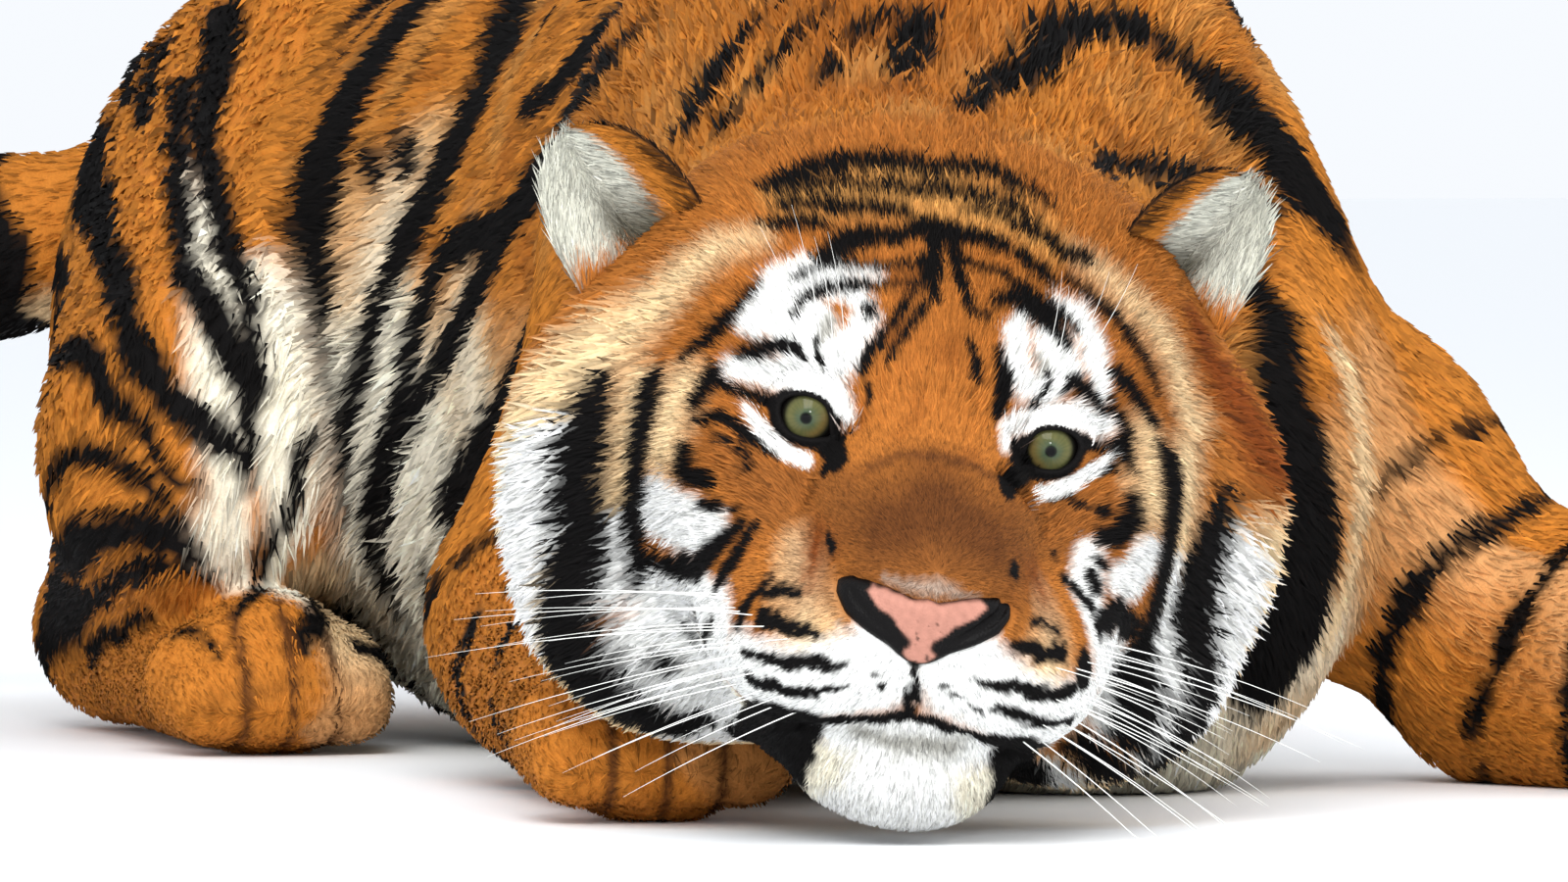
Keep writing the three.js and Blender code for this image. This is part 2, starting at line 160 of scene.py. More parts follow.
def head_forms():
    def one(centre, radii, blend, coat, turn=0):
        return Egg(centre, radii, blend, coat, turn, in_head=True)

    def pair(centre, radii, blend, coat):
        return [one(mirror(centre, side), radii, blend, coat) for side in (1, -1)]

    def rails(start, end, start_radius, end_radius, blend, coat):
        return [
            Limb(mirror(start, side), mirror(end, side), start_radius, end_radius, blend, coat, in_head=True)
            for side in (1, -1)
        ]

    return [
        one((0, 106, 14), (82, 108, 70), 20, 8),  # cranium
        one((0, 42, 8), (56, 64, 40), 26, 7),  # forehead
        *rails((22, 12, -12), (21, -98, -56), 30, 23, 14, 4),  # sides of the nose
        one((0, -58, -22), (34, 72, 18), 14, 4, 20),  # top of the nose
        one((0, -106, -58), (36, 18, 22), 12, 3),  # end of the nose
        one((0, -62, -84), (54, 58, 42), 20, 4),  # muzzle
        *pair((39, -84, -84), (38, 38, 31), 14, 4),  # whisker pads
        *pair((50, -44, -84), (38, 46, 34), 20, 6),  # back of the pads
        *pair((55, 16, 0), (34, 25, 25), 16, 3),  # eye orbits
        *pair((46, 14, 26), (32, 26, 15), 16, 6),  # brows
        *pair((84, 58, -24), (36, 66, 42), 26, 14),  # cheekbones
        *pair((66, 16, -52), (36, 56, 40), 26, 8),  # cheeks
        *pair((66, 96, 18), (48, 76, 50), 24, 10),  # temples
        *pair((66, 66, -74), (50, 70, 60), 24, 22),  # jaw muscles
        one((3, -74, -130), (36, 34, 27), 14, 8),  # chin
        *rails((18, -58, -122), (54, 58, -112), 28, 42, 18, 10),  # jaw
        *pair((110, 86, -60), (46, 42, 74), 26, 26),  # ruffs
        *pair((84, 62, -122), (52, 44, 36), 26, 22),  # ruffs under the jaw
    ]


def torso_forms():
    neck_start = from_head((0, 130, -22))
    return [
        Limb(neck_start, (240, 410, 285), 104, 146, 50, 26),  # neck
        Egg((150, 300, 165), (108, 130, 120), 50, 24, lie=(0.3, 1, -0.7)),  # throat
        Egg((272, 520, 230), (150, 250, 218), 50, 20),  # chest
        Egg((228, 430, 330), (50, 130, 122), 40, 16),  # right shoulder blade
        Egg((298, 416, 326), (48, 130, 122), 40, 16),  # left shoulder blade
        Egg((150, 430, 225), (68, 98, 118), 40, 16, lie=(0, 0.5, -1)),  # right shoulder
        Egg((344, 360, 222), (64, 98, 116), 40, 16, lie=(0.4, 0.3, -1)),  # left shoulder
        Egg((286, 330, 128), (112, 120, 126), 50, 20, lie=(0.3, 1, -0.7)),  # brisket
        Egg((318, 800, 196), (170, 300, 190), 60, 24),  # belly
        Egg((340, 860, 258), (125, 270, 150), 60, 18),  # loin
        Egg((380, 1130, 286), (116, 180, 160), 60, 18),  # pelvis
        Egg((388, 1220, 262), (92, 92, 122), 50, 18),  # rump
    ]


def paw_forms(centre, heading, width):
    """A heel and four toes side by side, pointing to heading."""
    x, y, z = centre
    forward = np.array([sin(radians(heading)), -cos(radians(heading)), 0])
    side = np.array([-forward[1], forward[0], 0])

    def at(across, ahead, height):
        return np.array([x, y, height]) + side * across + forward * ahead

    forms = [Limb(at(0, -34, z), at(0, 10, z), 0.34 * width, 0.38 * width, 16, 8)]
    for n in (-1.5, -0.5, 0.5, 1.5):
        reach = 46 - 7 * abs(n)
        across = n * width / 4.4
        forms.append(Limb(at(across, reach - 30, z - 4), at(across * 1.06, reach, z - 12), 24, 17, 9, 8))
    return forms


def fore_leg(shoulder, elbow, fore_start, wrist, heel, radii, muscle, calf, heading):
    """An upper arm, a forearm and a paw, from the shoulder to the toes."""
    return [
        Limb(shoulder, elbow, *radii, 36, 14),
        Egg(*muscle, 30, 14, lie=unit(np.subtract(elbow, shoulder))),
        Limb(fore_start, wrist, 54, 40, 24, 12),
        Egg(*calf, 24, 12, lie=unit(np.subtract(wrist, fore_start))),
        *paw_forms(heel, heading, FORE_PAW),
    ]


def hind_leg(hip, knee, thigh_back, shank_start, hock, foot_start, toes, heel, heading):
    """A thigh, a folded shank and foot, and a paw, from the hip to the toes."""
    return [
        Limb(hip, knee, 112, 76, 50, 18),
        Egg(thigh_back, (78, 140, 118), 50, 18, lie=(0, 0.2, -1)),
        Limb(shank_start, hock, 62, 38, 30, 14),
        Limb(foot_start, toes, 36, 36, 20, 10),
        *paw_forms(heel, heading, HIND_PAW),
    ]


TAIL_LINE = [
    (384, 1258, 288), (334, 1366, 274), (244, 1414, 250), (136, 1440, 205),
    (24, 1440, 126), (-86, 1395, 56), (-180, 1305, 42), (-240, 1190, 36),
]


def tail_forms():
    radii = np.linspace(*TAIL_RADII, len(TAIL_LINE))
    return [Limb(*TAIL_LINE[i : i + 2], *radii[i : i + 2], 26, 12) for i in range(len(TAIL_LINE) - 1)]


REGIONS = {
    "head": head_forms(),
    "torso": torso_forms(),
    "right_fore": fore_leg(
        (146, 410, 232), (102, 512, 88), (98, 505, 68), (8, 290, 50), (-26, 206, 42), (74, 56),
        ((140, 500, 150), (48, 62, 74)), ((80, 450, 72), (48, 76, 52)), -22,
    ),
    "left_fore": fore_leg(
        (350, 340, 214), (500, 296, 70), (504, 284, 60), (566, 6, 50), (580, -66, 42), (70, 50),
        ((440, 340, 140), (70, 50, 72)), ((514, 234, 64), (48, 84, 52)), 10,
    ),
    "right_hind": hind_leg(
        (302, 1140, 278), (118, 915, 166), (244, 1110, 186), (104, 900, 140), (172, 1110, 58),
        (168, 1112, 50), (118, 910, 44), (110, 850, 40), -13,
    ),
    "left_hind": hind_leg(
        (466, 1120, 278), (572, 860, 166), (494, 1090, 186), (576, 846, 140), (556, 1066, 58),
        (560, 1066, 50), (556, 862, 44), (552, 800, 40), -2,
    ),
    "tail": tail_forms(),
}


def smooth_min(a, b, blend):
    h = np.maximum(blend - np.abs(a - b), 0) / blend
    return np.minimum(a, b) - h * h * blend / 4


def forms_near(p, grow, far=60):
    """Each form that comes near some of the points p, with its region and those points."""
    found = []
    for name, forms in REGIONS.items():
        for form in forms:
            low, high = form.box(grow)
            margin = form.blend + far
            near = np.nonzero(((p > low - margin) & (p < high + margin)).all(1))[0]
            if len(near):
                found.append((name, form, near))
    return found


def flesh(p, grow, near=None):
    """The distance from the body's surface at points p, negative inside."""
    d = np.full(len(p), 1e3)
    for _, form, index in near or forms_near(p, grow):
        d[index] = smooth_min(d[index], form.distance(p[index], grow), form.blend)
    return d


# ---- Lines and outlines of the face, in the head's frame
def dist_to_line(p, line):
    """The distance of points p from a bent line, and how far along it the nearest place is."""
    line = np.asarray(line, float)
    lengths = np.linalg.norm(np.diff(line, axis=0), axis=1)
    start = np.concatenate([[0], np.cumsum(lengths)])
    best = np.full(len(p), 1e9)
    at = np.zeros(len(p))
    for i in range(len(line) - 1):
        along = line[i + 1] - line[i]
        t = np.clip((p - line[i]) @ along / (along @ along), 0, 1)
        d = np.linalg.norm(p - line[i] - t[:, None] * along, axis=1)
        closer = d < best
        best[closer] = d[closer]
        at[closer] = start[i] + t[closer] * lengths[i]
    return best, at / start[-1]


def both_ways(line):
    return [[mirror(p, side) for p in line] for side in (1, -1)]


PHILTRUM = [(0, -136, -74), (0, -130, -88), (0, -126, -102)]
LIP_LINE = [
    (0, -126, -103), (16, -122, -108), (36, -112, -112), (56, -88, -110), (74, -56, -104), (86, -24, -96),
]
TEAR_LINE = [(24, -40, -12), (38, -24, -10), (52, -40, -30)]
CREASES = [  # lines that dent the skin, with their half width and depth
    (PHILTRUM, 4, 5),
    *((line, 5, 8) for line in both_ways(LIP_LINE)),
    *((line, 7, 3) for line in both_ways(TEAR_LINE)),
]

NOSE_MIDDLE = -3  # of the face, across


def both_sides(half):
    """A closed outline from its left half, mirrored about the middle of the nose."""
    return [(NOSE_MIDDLE + x, z) for x, z in half] + [(NOSE_MIDDLE - x, z) for x, z in half[::-1]]


NOSE_PAD = both_sides([
    (0, -41), (5, -42), (15, -40), (24, -39), (32, -39.5), (38.5, -43), (39, -48), (34.5, -54.5), (25, -60),
    (14, -65), (8.5, -69), (5, -71), (0, -72),
])
NOSE_PINK = both_sides([
    (0, -41), (5, -42), (15, -40), (24, -39.5), (27, -42.5), (22, -47.5), (14, -51.5), (9.5, -57), (8, -62),
    (7, -67), (4, -70), (0, -71),
])


def outline_distance(q, outline):
    """The distance of points of a plane from a closed outline: negative inside it."""
    best = np.full(len(q), 1e9)
    crossings = np.zeros(len(q), int)
    for a, b in zip(outline, [*outline[1:], outline[0]]):
        (x0, z0), (x1, z1) = a, b
        way = np.array([x1 - x0, z1 - z0])
        t = np.clip((q - (x0, z0)) @ way / max(way @ way, 1e-9), 0, 1)
        best = np.minimum(best, np.linalg.norm(q - (x0, z0) - t[:, None] * way, axis=1))
        spans = (z0 > q[:, 1]) != (z1 > q[:, 1])
        edge = x0 + (q[:, 1] - z0) / (z1 - z0 if z1 != z0 else 1) * (x1 - x0)
        crossings += spans & (q[:, 0] < edge)
    return np.where(crossings % 2, -best, best)


GAZES = {  # the way that each eye looks
    1: unit(np.array([-0.457, -0.891, -0.2])),
    -1: unit(np.array([-0.604, -0.806, -0.14])),
}
SOCKET_ROOM = 4  # round the eyeball
SOCKET_REACH = 9  # of the hole in the skin, past the opening and under the lids
LID_DEPTH = 2.6
LID_REACH = 17  # from the edge of the opening out over the skin
LID_ROWS = 14
LID_COLUMNS = 72


def eye_axes(side):
    """Away from the nose, up the face and out along the gaze, at an eye."""
    gaze = GAZES[side]
    up = unit(HEAD[:, 2] - gaze * (HEAD[:, 2] @ gaze))
    across = side * np.cross(up, gaze)
    return np.stack([across, up, gaze], 1)


def smooth_line(points, steps=12):
    """A curve through the points, as closely spaced points."""
    p = np.asarray(points, float)
    p = np.concatenate([[2 * p[0] - p[1]], p, [2 * p[-1] - p[-2]]])
    t = np.linspace(0, 1, steps, endpoint=False)[:, None]
    parts = []
    for a, b, c, d in zip(p, p[1:], p[2:], p[3:]):
        square, cube = 2 * a - 5 * b + 4 * c - d, 3 * b - a - 3 * c + d
        parts.append(0.5 * (2 * b + (c - a) * t + square * t ** 2 + cube * t ** 3))
    return np.concatenate([*parts, p[-2:-1]])


def closed_curve(points, count):
    """A smooth closed curve through the points, as evenly spaced points."""
    steps = 16
    p = np.array([*points[-2:], *points, *points[:2]], float)
    fine = smooth_line(p, steps)[2 * steps : -2 * steps]
    fine = np.concatenate([fine, fine[:1]])
    lengths = np.concatenate([[0], np.cumsum(np.linalg.norm(np.diff(fine, axis=0), axis=1))])
    at = np.linspace(0, lengths[-1], count, endpoint=False)
    return np.stack([np.interp(at, lengths, fine[:, i]) for i in range(p.shape[1])], 1)


EYE_OPENING = closed_curve([
    (-11.4, -6.3), (-7.6, -8), (-2, -9), (5.5, -8), (10.6, -3.5), (12.2, 2.5), (9, 7.2), (2, 9.3),
     (-5.8, 7.4),
    (-9.8, 1.5),
], LID_COLUMNS)


def off_eyes(p):
    """How far points are from an eye's opening, and how far across and up from the eye's middle."""
    off = np.full(len(p), 99.0)
    place = np.full((len(p), 2), 99.0)
    for side in (1, -1):
        q = (p - from_head(mirror(EYE, side))) @ eye_axes(side)
        near = np.nonzero((np.linalg.norm(q[:, :2], axis=1) < 40) & (q[:, 2] > -10))[0]
        off[near] = outline_distance(q[near, :2], EYE_OPENING[::2].tolist())
        place[near] = q[near, :2]
    return off, place


def skin_field(p, near):
    """The distance from the skin: the flesh with its creases, eye sockets and flats on the floor."""
    d = flesh(p, SKIN, near)
    d = np.maximum(d, SKIN_FLOOR - p[:, 2])
    h = to_head(p)
    face = np.nonzero((np.abs(h[:, 0]) < 120) & (h[:, 1] < 40) & (h[:, 2] > -150) & (h[:, 2] < 60))[0]
    if not len(face):
        return d
    q = h[face]
    e = d[face]
    for line, width, depth in CREASES:
        off, _ = dist_to_line(q, line)
        e = e + depth * np.exp(-((off / width) ** 2))
    for side in (1, -1):
        socket = EYE_RADIUS + SOCKET_ROOM - np.linalg.norm(q - mirror(EYE, side), axis=1)
        e = np.maximum(e, socket)
    off, _ = off_eyes(p[face])
    e = np.maximum(e, SOCKET_REACH - off)
    pad = (q[:, 1] < -90) * ease(2 - outline_distance(q[:, ::2], NOSE_PAD), 0, 3)
    d[face] = e + 2.5 * pad  # the bare pad is a piece of its own, over the skin
    return d


def settle(p, rounds, step=0.8, most=6.0):
    """Points moved along the slope onto the skin's surface."""
    near = forms_near(p, SKIN, far=20)
    for _ in range(rounds):
        d = skin_field(p, near)
        g = np.stack([skin_field(p + step * axis, near) - d for axis in np.eye(3)], 1) / step
        size = np.maximum((g ** 2).sum(1), 0.2)
        move = -(d / size)[:, None] * g
        length = np.linalg.norm(move, axis=1, keepdims=True)
        p = p + move * np.minimum(1, most / np.maximum(length, 1e-9))
    return p


def flesh_grid(low, high, cell, grow):
    """The distance from the whole body's surface on a grid, each form worked out near itself only."""
    n = np.ceil((np.asarray(high) - low) / cell).astype(int) + 1
    values = np.full(n, 1e3)
    for form in (form for forms in REGIONS.values() for form in forms):
        bottom, top = form.box(grow)
        margin = form.blend + 3 * cell
        first = np.clip(((bottom - margin - low) / cell).astype(int), 0, n)
        last = np.clip(((top + margin - low) / cell).astype(int) + 2, 0, n)
        axes = [low[i] + cell * np.arange(first[i], last[i]) for i in range(3)]
        part = tuple(slice(a, b) for a, b in zip(first, last))
        p = np.stack(np.meshgrid(*axes, indexing="ij"), -1)
        values[part] = smooth_min(values[part], form.distance(p, grow), form.blend)
    heights = low[2] + cell * np.arange(n[2])
    return np.maximum(values, SKIN_FLOOR - heights)


def surface_of(values, low, cell):
    """Closed quads round the zero level of a grid of values, one corner in each cell that it crosses."""
    n = values.shape
    inside = values < 0
    corners = [(i, j, k) for i in (0, 1) for j in (0, 1) for k in (0, 1)]

    def part(a, corner):
        return a[tuple(slice(c, c + m - 1) for c, m in zip(corner, n))]

    count = sum(part(inside, c).astype(int) for c in corners)
    crossed = (count > 0) & (count < 8)
    index = np.full(crossed.shape, -1)
    index[crossed] = np.arange(crossed.sum())
    cells = np.argwhere(crossed)
    total, hits = np.zeros((len(cells), 3)), np.zeros(len(cells))
    value = {c: part(values, c)[crossed] for c in corners}
    for axis in range(3):
        for corner in corners:
            if corner[axis]:
                continue
            other = tuple(1 if i == axis else c for i, c in enumerate(corner))
            a, b = value[corner], value[other]
            cut = (a < 0) != (b < 0)
            place = np.tile(np.array(corner, float), (len(cells), 1))
            place[:, axis] = a / np.where(cut, a - b, 1)
            total[cut] += place[cut]
            hits[cut] += 1
    points = np.asarray(low) + cell * (cells + total / hits[:, None])
    quads = []
    for axis in range(3):
        u, w = (axis + 1) % 3, (axis + 2) % 3
        here = [slice(1, m - 1) for m in n]
        here[axis] = slice(0, n[axis] - 1)
        there = list(here)
        there[axis] = slice(1, n[axis])
        a, b = inside[tuple(here)], inside[tuple(there)]
        for outward, mask in ((True, a & ~b), (False, ~a & b)):
            at = np.argwhere(mask)
            at[:, [u, w]] += 1

            def cell_at(du, dw):
                q = at.copy()
                q[:, u] -= du
                q[:, w] -= dw
                return index[q[:, 0], q[:, 1], q[:, 2]]

            quad = np.stack([cell_at(1, 1), cell_at(0, 1), cell_at(0, 0), cell_at(1, 0)], 1)
            quads.append(quad if outward else quad[:, ::-1])
    return points, np.concatenate(quads)


# ---- Charts: flat maps of the body that the markings are drawn on
FACE_CENTRE = (0, 70, -30)  # in the head's frame: the face chart spreads round the axis from here to the nose
FACE_SCALE = 110  # chart millimetres to a radian


def face_chart(p):
    """Across to the tiger's left and up, round the head from the middle of the face."""
    q = to_head(p) - FACE_CENTRE
    round_head = np.hypot(q[:, 0], q[:, 2])
    out = FACE_SCALE * np.arctan2(round_head, -q[:, 1])
    share = out / np.maximum(round_head, 1e-6)
    return np.stack([q[:, 0] * share, q[:, 2] * share], 1)


TORSO_LINE = np.array([
    from_head((0, 160, -24)), (158, 300, 225), (236, 430, 252), (284, 580, 240), (316, 760, 222),
    (350, 960, 235), (380, 1150, 262), (392, 1300, 262),
])


LINE_BLEND = 34560  # square millimetres: stretches of a line this far apart share a point
CHUNK = 20000  # points at a time


def line_chart(p, line):
    """How far along a line, and how far round it in degrees from the top to the tiger's right."""
    line = smooth_line(line)
    lengths = np.linalg.norm(np.diff(line, axis=0), axis=1)
    station = np.concatenate([[0], np.cumsum(lengths)])
    tangent = unit(np.gradient(line, axis=0))
    along = np.zeros(len(p))
    angle = np.zeros(len(p))
    for start in range(0, len(p), CHUNK):
        part = slice(start, start + CHUNK)
        q = p[part]
        d2 = ((q[:, None] - line[None]) ** 2).sum(2)
        weight = np.exp(-(d2 - d2.min(1, keepdims=True)) / LINE_BLEND)
        weight /= weight.sum(1, keepdims=True)
        centre, forward = weight @ line, unit(weight @ tangent)
        across = unit(np.cross(forward, (0, 0, 1)))
        up = np.cross(across, forward)
        off = q - centre
        along[part] = weight @ station + (off * forward).sum(1)
        angle[part] = np.degrees(np.arctan2(-(off * across).sum(1), (off * up).sum(1)))
    return along, angle


# ---- Meshes
eye_boxes = [np.mean(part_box(node), axis=0) for node in ("left_eye", "right_eye")]
SHIFT = 1000 * np.mean(eye_boxes, axis=0) - from_head((0, EYE[1], EYE[2]))


def make_mesh(name, points, faces):
    """A smooth mesh object at the origin, from points in millimetres in the tiger's frame."""
    mesh = bpy.data.meshes.new(name)
    points = (np.asarray(points) + SHIFT) / 1000
    mesh.vertices.add(len(points))
    mesh.vertices.foreach_set("co", points.ravel())
    mesh.loops.add(faces.size)
    mesh.loops.foreach_set("vertex_index", faces.ravel().astype(np.int32))
    mesh.polygons.add(len(faces))
    mesh.polygons.foreach_set("loop_start", np.arange(0, faces.size, faces.shape[1], dtype=np.int32))
    mesh.update(calc_edges=True)
    mesh.validate()
    mesh.shade_smooth()
    piece = bpy.data.objects.new(name, mesh)
    bpy.context.scene.collection.objects.link(piece)
    return piece


def tint(piece, colours):
    """A linear colour at each corner point, in the attribute that the coat's materials read."""
    layer = piece.data.color_attributes.new("tint", "FLOAT_COLOR", "POINT")
    rgba = np.ones((len(colours), 4), np.float32)
    rgba[:, :3] = colours
    layer.data.foreach_set("color", rgba.ravel())


def grid_faces(rows, columns):
    """Quads of a grid of rows by columns of points, joined round its columns."""
    r, c = np.meshgrid(np.arange(rows - 1), np.arange(columns), indexing="ij")
    r, c, d = r.ravel(), c.ravel(), (c.ravel() + 1) % columns
    return np.stack([r * columns + c, r * columns + d, (r + 1) * columns + d, (r + 1) * columns + c], 1)


def point_normals(points, triangles):
    a, b, c = (points[triangles[:, i]] for i in range(3))
    face = np.cross(b - a, c - a)
    normals = np.zeros_like(points)
    for i in range(3):
        np.add.at(normals, triangles[:, i], face)
    return unit(normals)


def halves(quads):
    return np.concatenate([quads[:, [0, 1, 2]], quads[:, [0, 2, 3]]])


# ---- Skin
FINER = [((0, 60, -40), 215), ((0, -50, -50), 122)]  # balls of the head where each face is cut in four


def body_skin():
    boxes = [form.box(SKIN) for forms in REGIONS.values() for form in forms]
    low = np.min([b[0] for b in boxes], axis=0) - 2 * CELL
    high = np.max([b[1] for b in boxes], axis=0) + 2 * CELL
    low[2] = SKIN_FLOOR - 1.5 * CELL
    points, quads = surface_of(flesh_grid(low, high, CELL, SKIN), low, CELL)
    points = settle(points, 2)
    bm = bmesh.new()
    corners = [bm.verts.new(p) for p in points]
    for quad in quads.tolist():
        bm.faces.new([corners[i] for i in quad])
    for centre, radius in FINER:
        points = np.array([v.co for v in bm.verts])
        inside = np.linalg.norm(to_head(points) - centre, axis=1) < radius
        bm.verts.index_update()
        edges = [e for e in bm.edges if inside[e.verts[0].index] and inside[e.verts[1].index]]
        bmesh.ops.subdivide_edges(bm, edges=edges, cuts=1, use_grid_fill=True)
        points = np.array([v.co for v in bm.verts])
        moved = np.linalg.norm(to_head(points) - centre, axis=1) < radius + 3 * CELL
        points[moved] = settle(points[moved], 2)
        for vertex, p in zip(bm.verts, points):
            vertex.co = p
    bmesh.ops.triangulate(bm, faces=bm.faces)
    bm.verts.index_update()
    points = np.array([v.co for v in bm.verts])
    triangles = np.array([[v.index for v in f.verts] for f in bm.faces])
    bm.free()
    return points, triangles


def eyelids(side):
    """A ring of skin from the edge of an eye's opening out over the socket, with both lids' thickness."""
    centre = from_head(mirror(EYE, side))
    axes = eye_axes(side)
    outward = unit(EYE_OPENING - EYE_OPENING.mean(0))
    rows = []
    for t in np.linspace(0, 1, LID_ROWS):
        plan = EYE_OPENING + outward * LID_REACH * t ** 1.3
        across = np.linalg.norm(plan, axis=1)
        near, far = np.full(len(plan), -30.0), np.full(len(plan), 40.0)
        for _ in range(18):
            middle = (near + far) / 2
            inside = flesh(centre + np.column_stack([plan, middle]) @ axes.T, SKIN) < 0
            near, far = np.where(inside, middle, near), np.where(inside, far, middle)
        ball = EYE_RADIUS + 0.2 + LID_DEPTH * ease(t, -0.02, 0.12)
        height = np.sqrt(np.maximum(ball ** 2 - across ** 2, 0))
        height = np.where(across < ball, height, 0)
        skin = near + 0.4 * (1 - t) - 0.6 * t
        share = ease(t, 0.0, 0.35)
        rows.append(np.column_stack([plan, height * (1 - share) - smooth_min(-height, -skin, 7) * share]))
    points = centre + np.concatenate(rows) @ axes.T
    faces = grid_faces(LID_ROWS, LID_COLUMNS)
    return points, halves(faces if side < 0 else faces[:, ::-1])


EAR_ROWS = 26
EAR_COLUMNS = 18


def ear_place(side, t, across, thickness):
    """A point of an ear, from its root at t 0 to its tip at t 1, across from edge to edge."""
    below = 0.9 + 0.1 * np.sin(np.minimum(t / EAR_WIDEST, 1) * pi / 2)
    above = (np.maximum(t - EAR_WIDEST, 0) / (1.01 - EAR_WIDEST)) ** EAR_ROUNDNESS
    above = np.sqrt(np.maximum(1 - above, 0))
    wide = np.where(t < EAR_WIDEST, below, above)
    hollow = EAR_DEPTH * (1 - 0.75 * t) * (1 - across ** 2) * wide
    x = (EAR_WIDTH / 2 - EAR_INSET) * wide * across
    z = t * (EAR_HEIGHT + EAR_ROOT - EAR_INSET) - EAR_ROOT
    out, height, lean, turn, pitch = EAR_POSES[side]
    stand = turn_about((0, 1, 0), side * lean) @ turn_about((0, 0, 1), side * turn)
    stand = stand @ turn_about((1, 0, 0), pitch)
    root = np.array([side * out, EAR_BACK, height])
    return from_head(root + np.stack([x, hollow + thickness, z], -1) @ stand.T)


def ear_skin(side):
    """A thin cup, as its points, its triangles and how hollow, how far out and how high each point is."""
    t = np.linspace(0, 0.985, EAR_ROWS)[:, None] * np.ones(EAR_COLUMNS)
    across = np.linspace(-1, 1, EAR_COLUMNS)[None] * np.ones((EAR_ROWS, 1))
    thick = 0.45 * EAR_THICKNESS * np.minimum(1, 6 * (1.02 - t)) * (1 - 0.55 * across ** 4)
    front = ear_place(side, t, across, -thick / 2)
    back = ear_place(side, t, -across, thick / 2)
    points = np.concatenate([front, back], 1).reshape(-1, 3)
    faces = grid_faces(EAR_ROWS, 2 * EAR_COLUMNS)
    tip = np.arange(2 * EAR_COLUMNS) + (EAR_ROWS - 1) * 2 * EAR_COLUMNS
    root = np.arange(2 * EAR_COLUMNS)
    points = np.concatenate([points, [points[tip].mean(0), points[root].mean(0)]])
    top, bottom = len(points) - 2, len(points) - 1
    caps = [
        np.stack([tip, np.roll(tip, -1), np.full(len(tip), top)], 1),
        np.stack([np.roll(root, -1), root, np.full(len(root), bottom)], 1),
    ]
    hollow = np.append(np.tile(np.repeat([1, 0], EAR_COLUMNS), EAR_ROWS), [0, 0])
    aside = np.append(np.concatenate([across, -across], 1).ravel(), [0, 0])
    height = np.append(t[:, 0].repeat(2 * EAR_COLUMNS), [1, 0])
    return points, np.concatenate([halves(faces), *caps]), np.stack([hollow, side * aside, height], 1)


def gather(parts):
    """Points and triangles of several parts as one."""
    points, triangles, start = [], [], 0
    for p, f in parts:
        points.append(p)
        triangles.append(f + start)
        start += len(p)
    return np.concatenate(points), np.concatenate(triangles)


# ---- Colours and markings
def srgb(red, green, blue):
    """A linear colour from its usual 0 to 255 values."""
    v = np.array([red, green, blue], float) / 255
    return np.where(v <= 0.04045, v / 12.92, ((v + 0.055) / 1.055) ** 2.4)


ORANGE = srgb(194, 120, 44)
FACE_ORANGE = srgb(174, 106, 44)
RUST = srgb(126, 62, 20)
BRIDGE = srgb(98, 56, 24)
CREAM = srgb(234, 204, 158)
CREAM_WHITE = srgb(246, 238, 216)
WHITE = srgb(252, 252, 248)
GREY = srgb(168, 166, 158)
BLACK = srgb(10, 8, 8)
DARK = srgb(70, 38, 20)
TAN = srgb(146, 88, 38)
GOLD = srgb(204, 146, 78)
PINK = srgb(174, 122, 106)
EAR_GREY = srgb(206, 206, 192)
# the painted shade low in the ear's hollow
EAR_SHADE = srgb(96, 92, 78)

rng = np.random.default_rng(7)
WAVES = unit(rng.normal(size=(24, 3)))
WAVE_PHASES = rng.uniform(0, 2 * pi, 24)


def ripple(p, size):
    """Smooth noise from -1 to 1 at points in millimetres, with bumps about this size."""
    total = np.zeros(len(p))
    for i, (wave, phase) in enumerate(zip(WAVES, WAVE_PHASES)):
        total += np.sin(p @ wave * (2 * pi / size) * (0.7 + 0.6 * i / len(WAVES)) + phase)
    return total / np.sqrt(len(WAVES)) / 1.6


def mix(a, b, share):
    share = np.asarray(share)[:, None]
    return a * (1 - share) + b * share


def stroke_share(chart, stroke, soft):
    """How far points of a chart lie inside a stroke of (across, up, half width): 1 inside, 0 outside."""
    stroke = np.asarray(stroke, float)
    best = np.full(len(chart), -1e9)
    reach = stroke[:, 2].max() + soft
    low, high = stroke[:, :2].min(0) - reach, stroke[:, :2].max(0) + reach
    near = np.nonzero(((chart > low) & (chart < high)).all(1))[0]
    q = chart[near]
    for a, b in zip(stroke, stroke[1:]):
        along = b[:2] - a[:2]
        t = np.clip((q - a[:2]) @ along / max(along @ along, 1e-9), 0, 1)
        off = np.linalg.norm(q - a[:2] - t[:, None] * along, axis=1)
        best[near] = np.maximum(best[near], a[2] + (b[2] - a[2]) * t - off)
    return np.clip(best / soft + 0.5, 0, 1)


def strokes_share(chart, strokes, soft, wider=0):
    """How far points of a chart lie inside any of the strokes, each drawn wider by so much."""
    share = np.zeros(len(chart))
    for stroke in strokes:
        share = np.maximum(share, stroke_share(chart, np.add(stroke, (0, 0, wider)), soft))
    return share


def rounded(strokes, degree):
    """Strokes whose second measure is an angle, with it in chart millimetres."""
    return [[(along, angle * degree, half) for along, angle, half in stroke] for stroke in strokes]


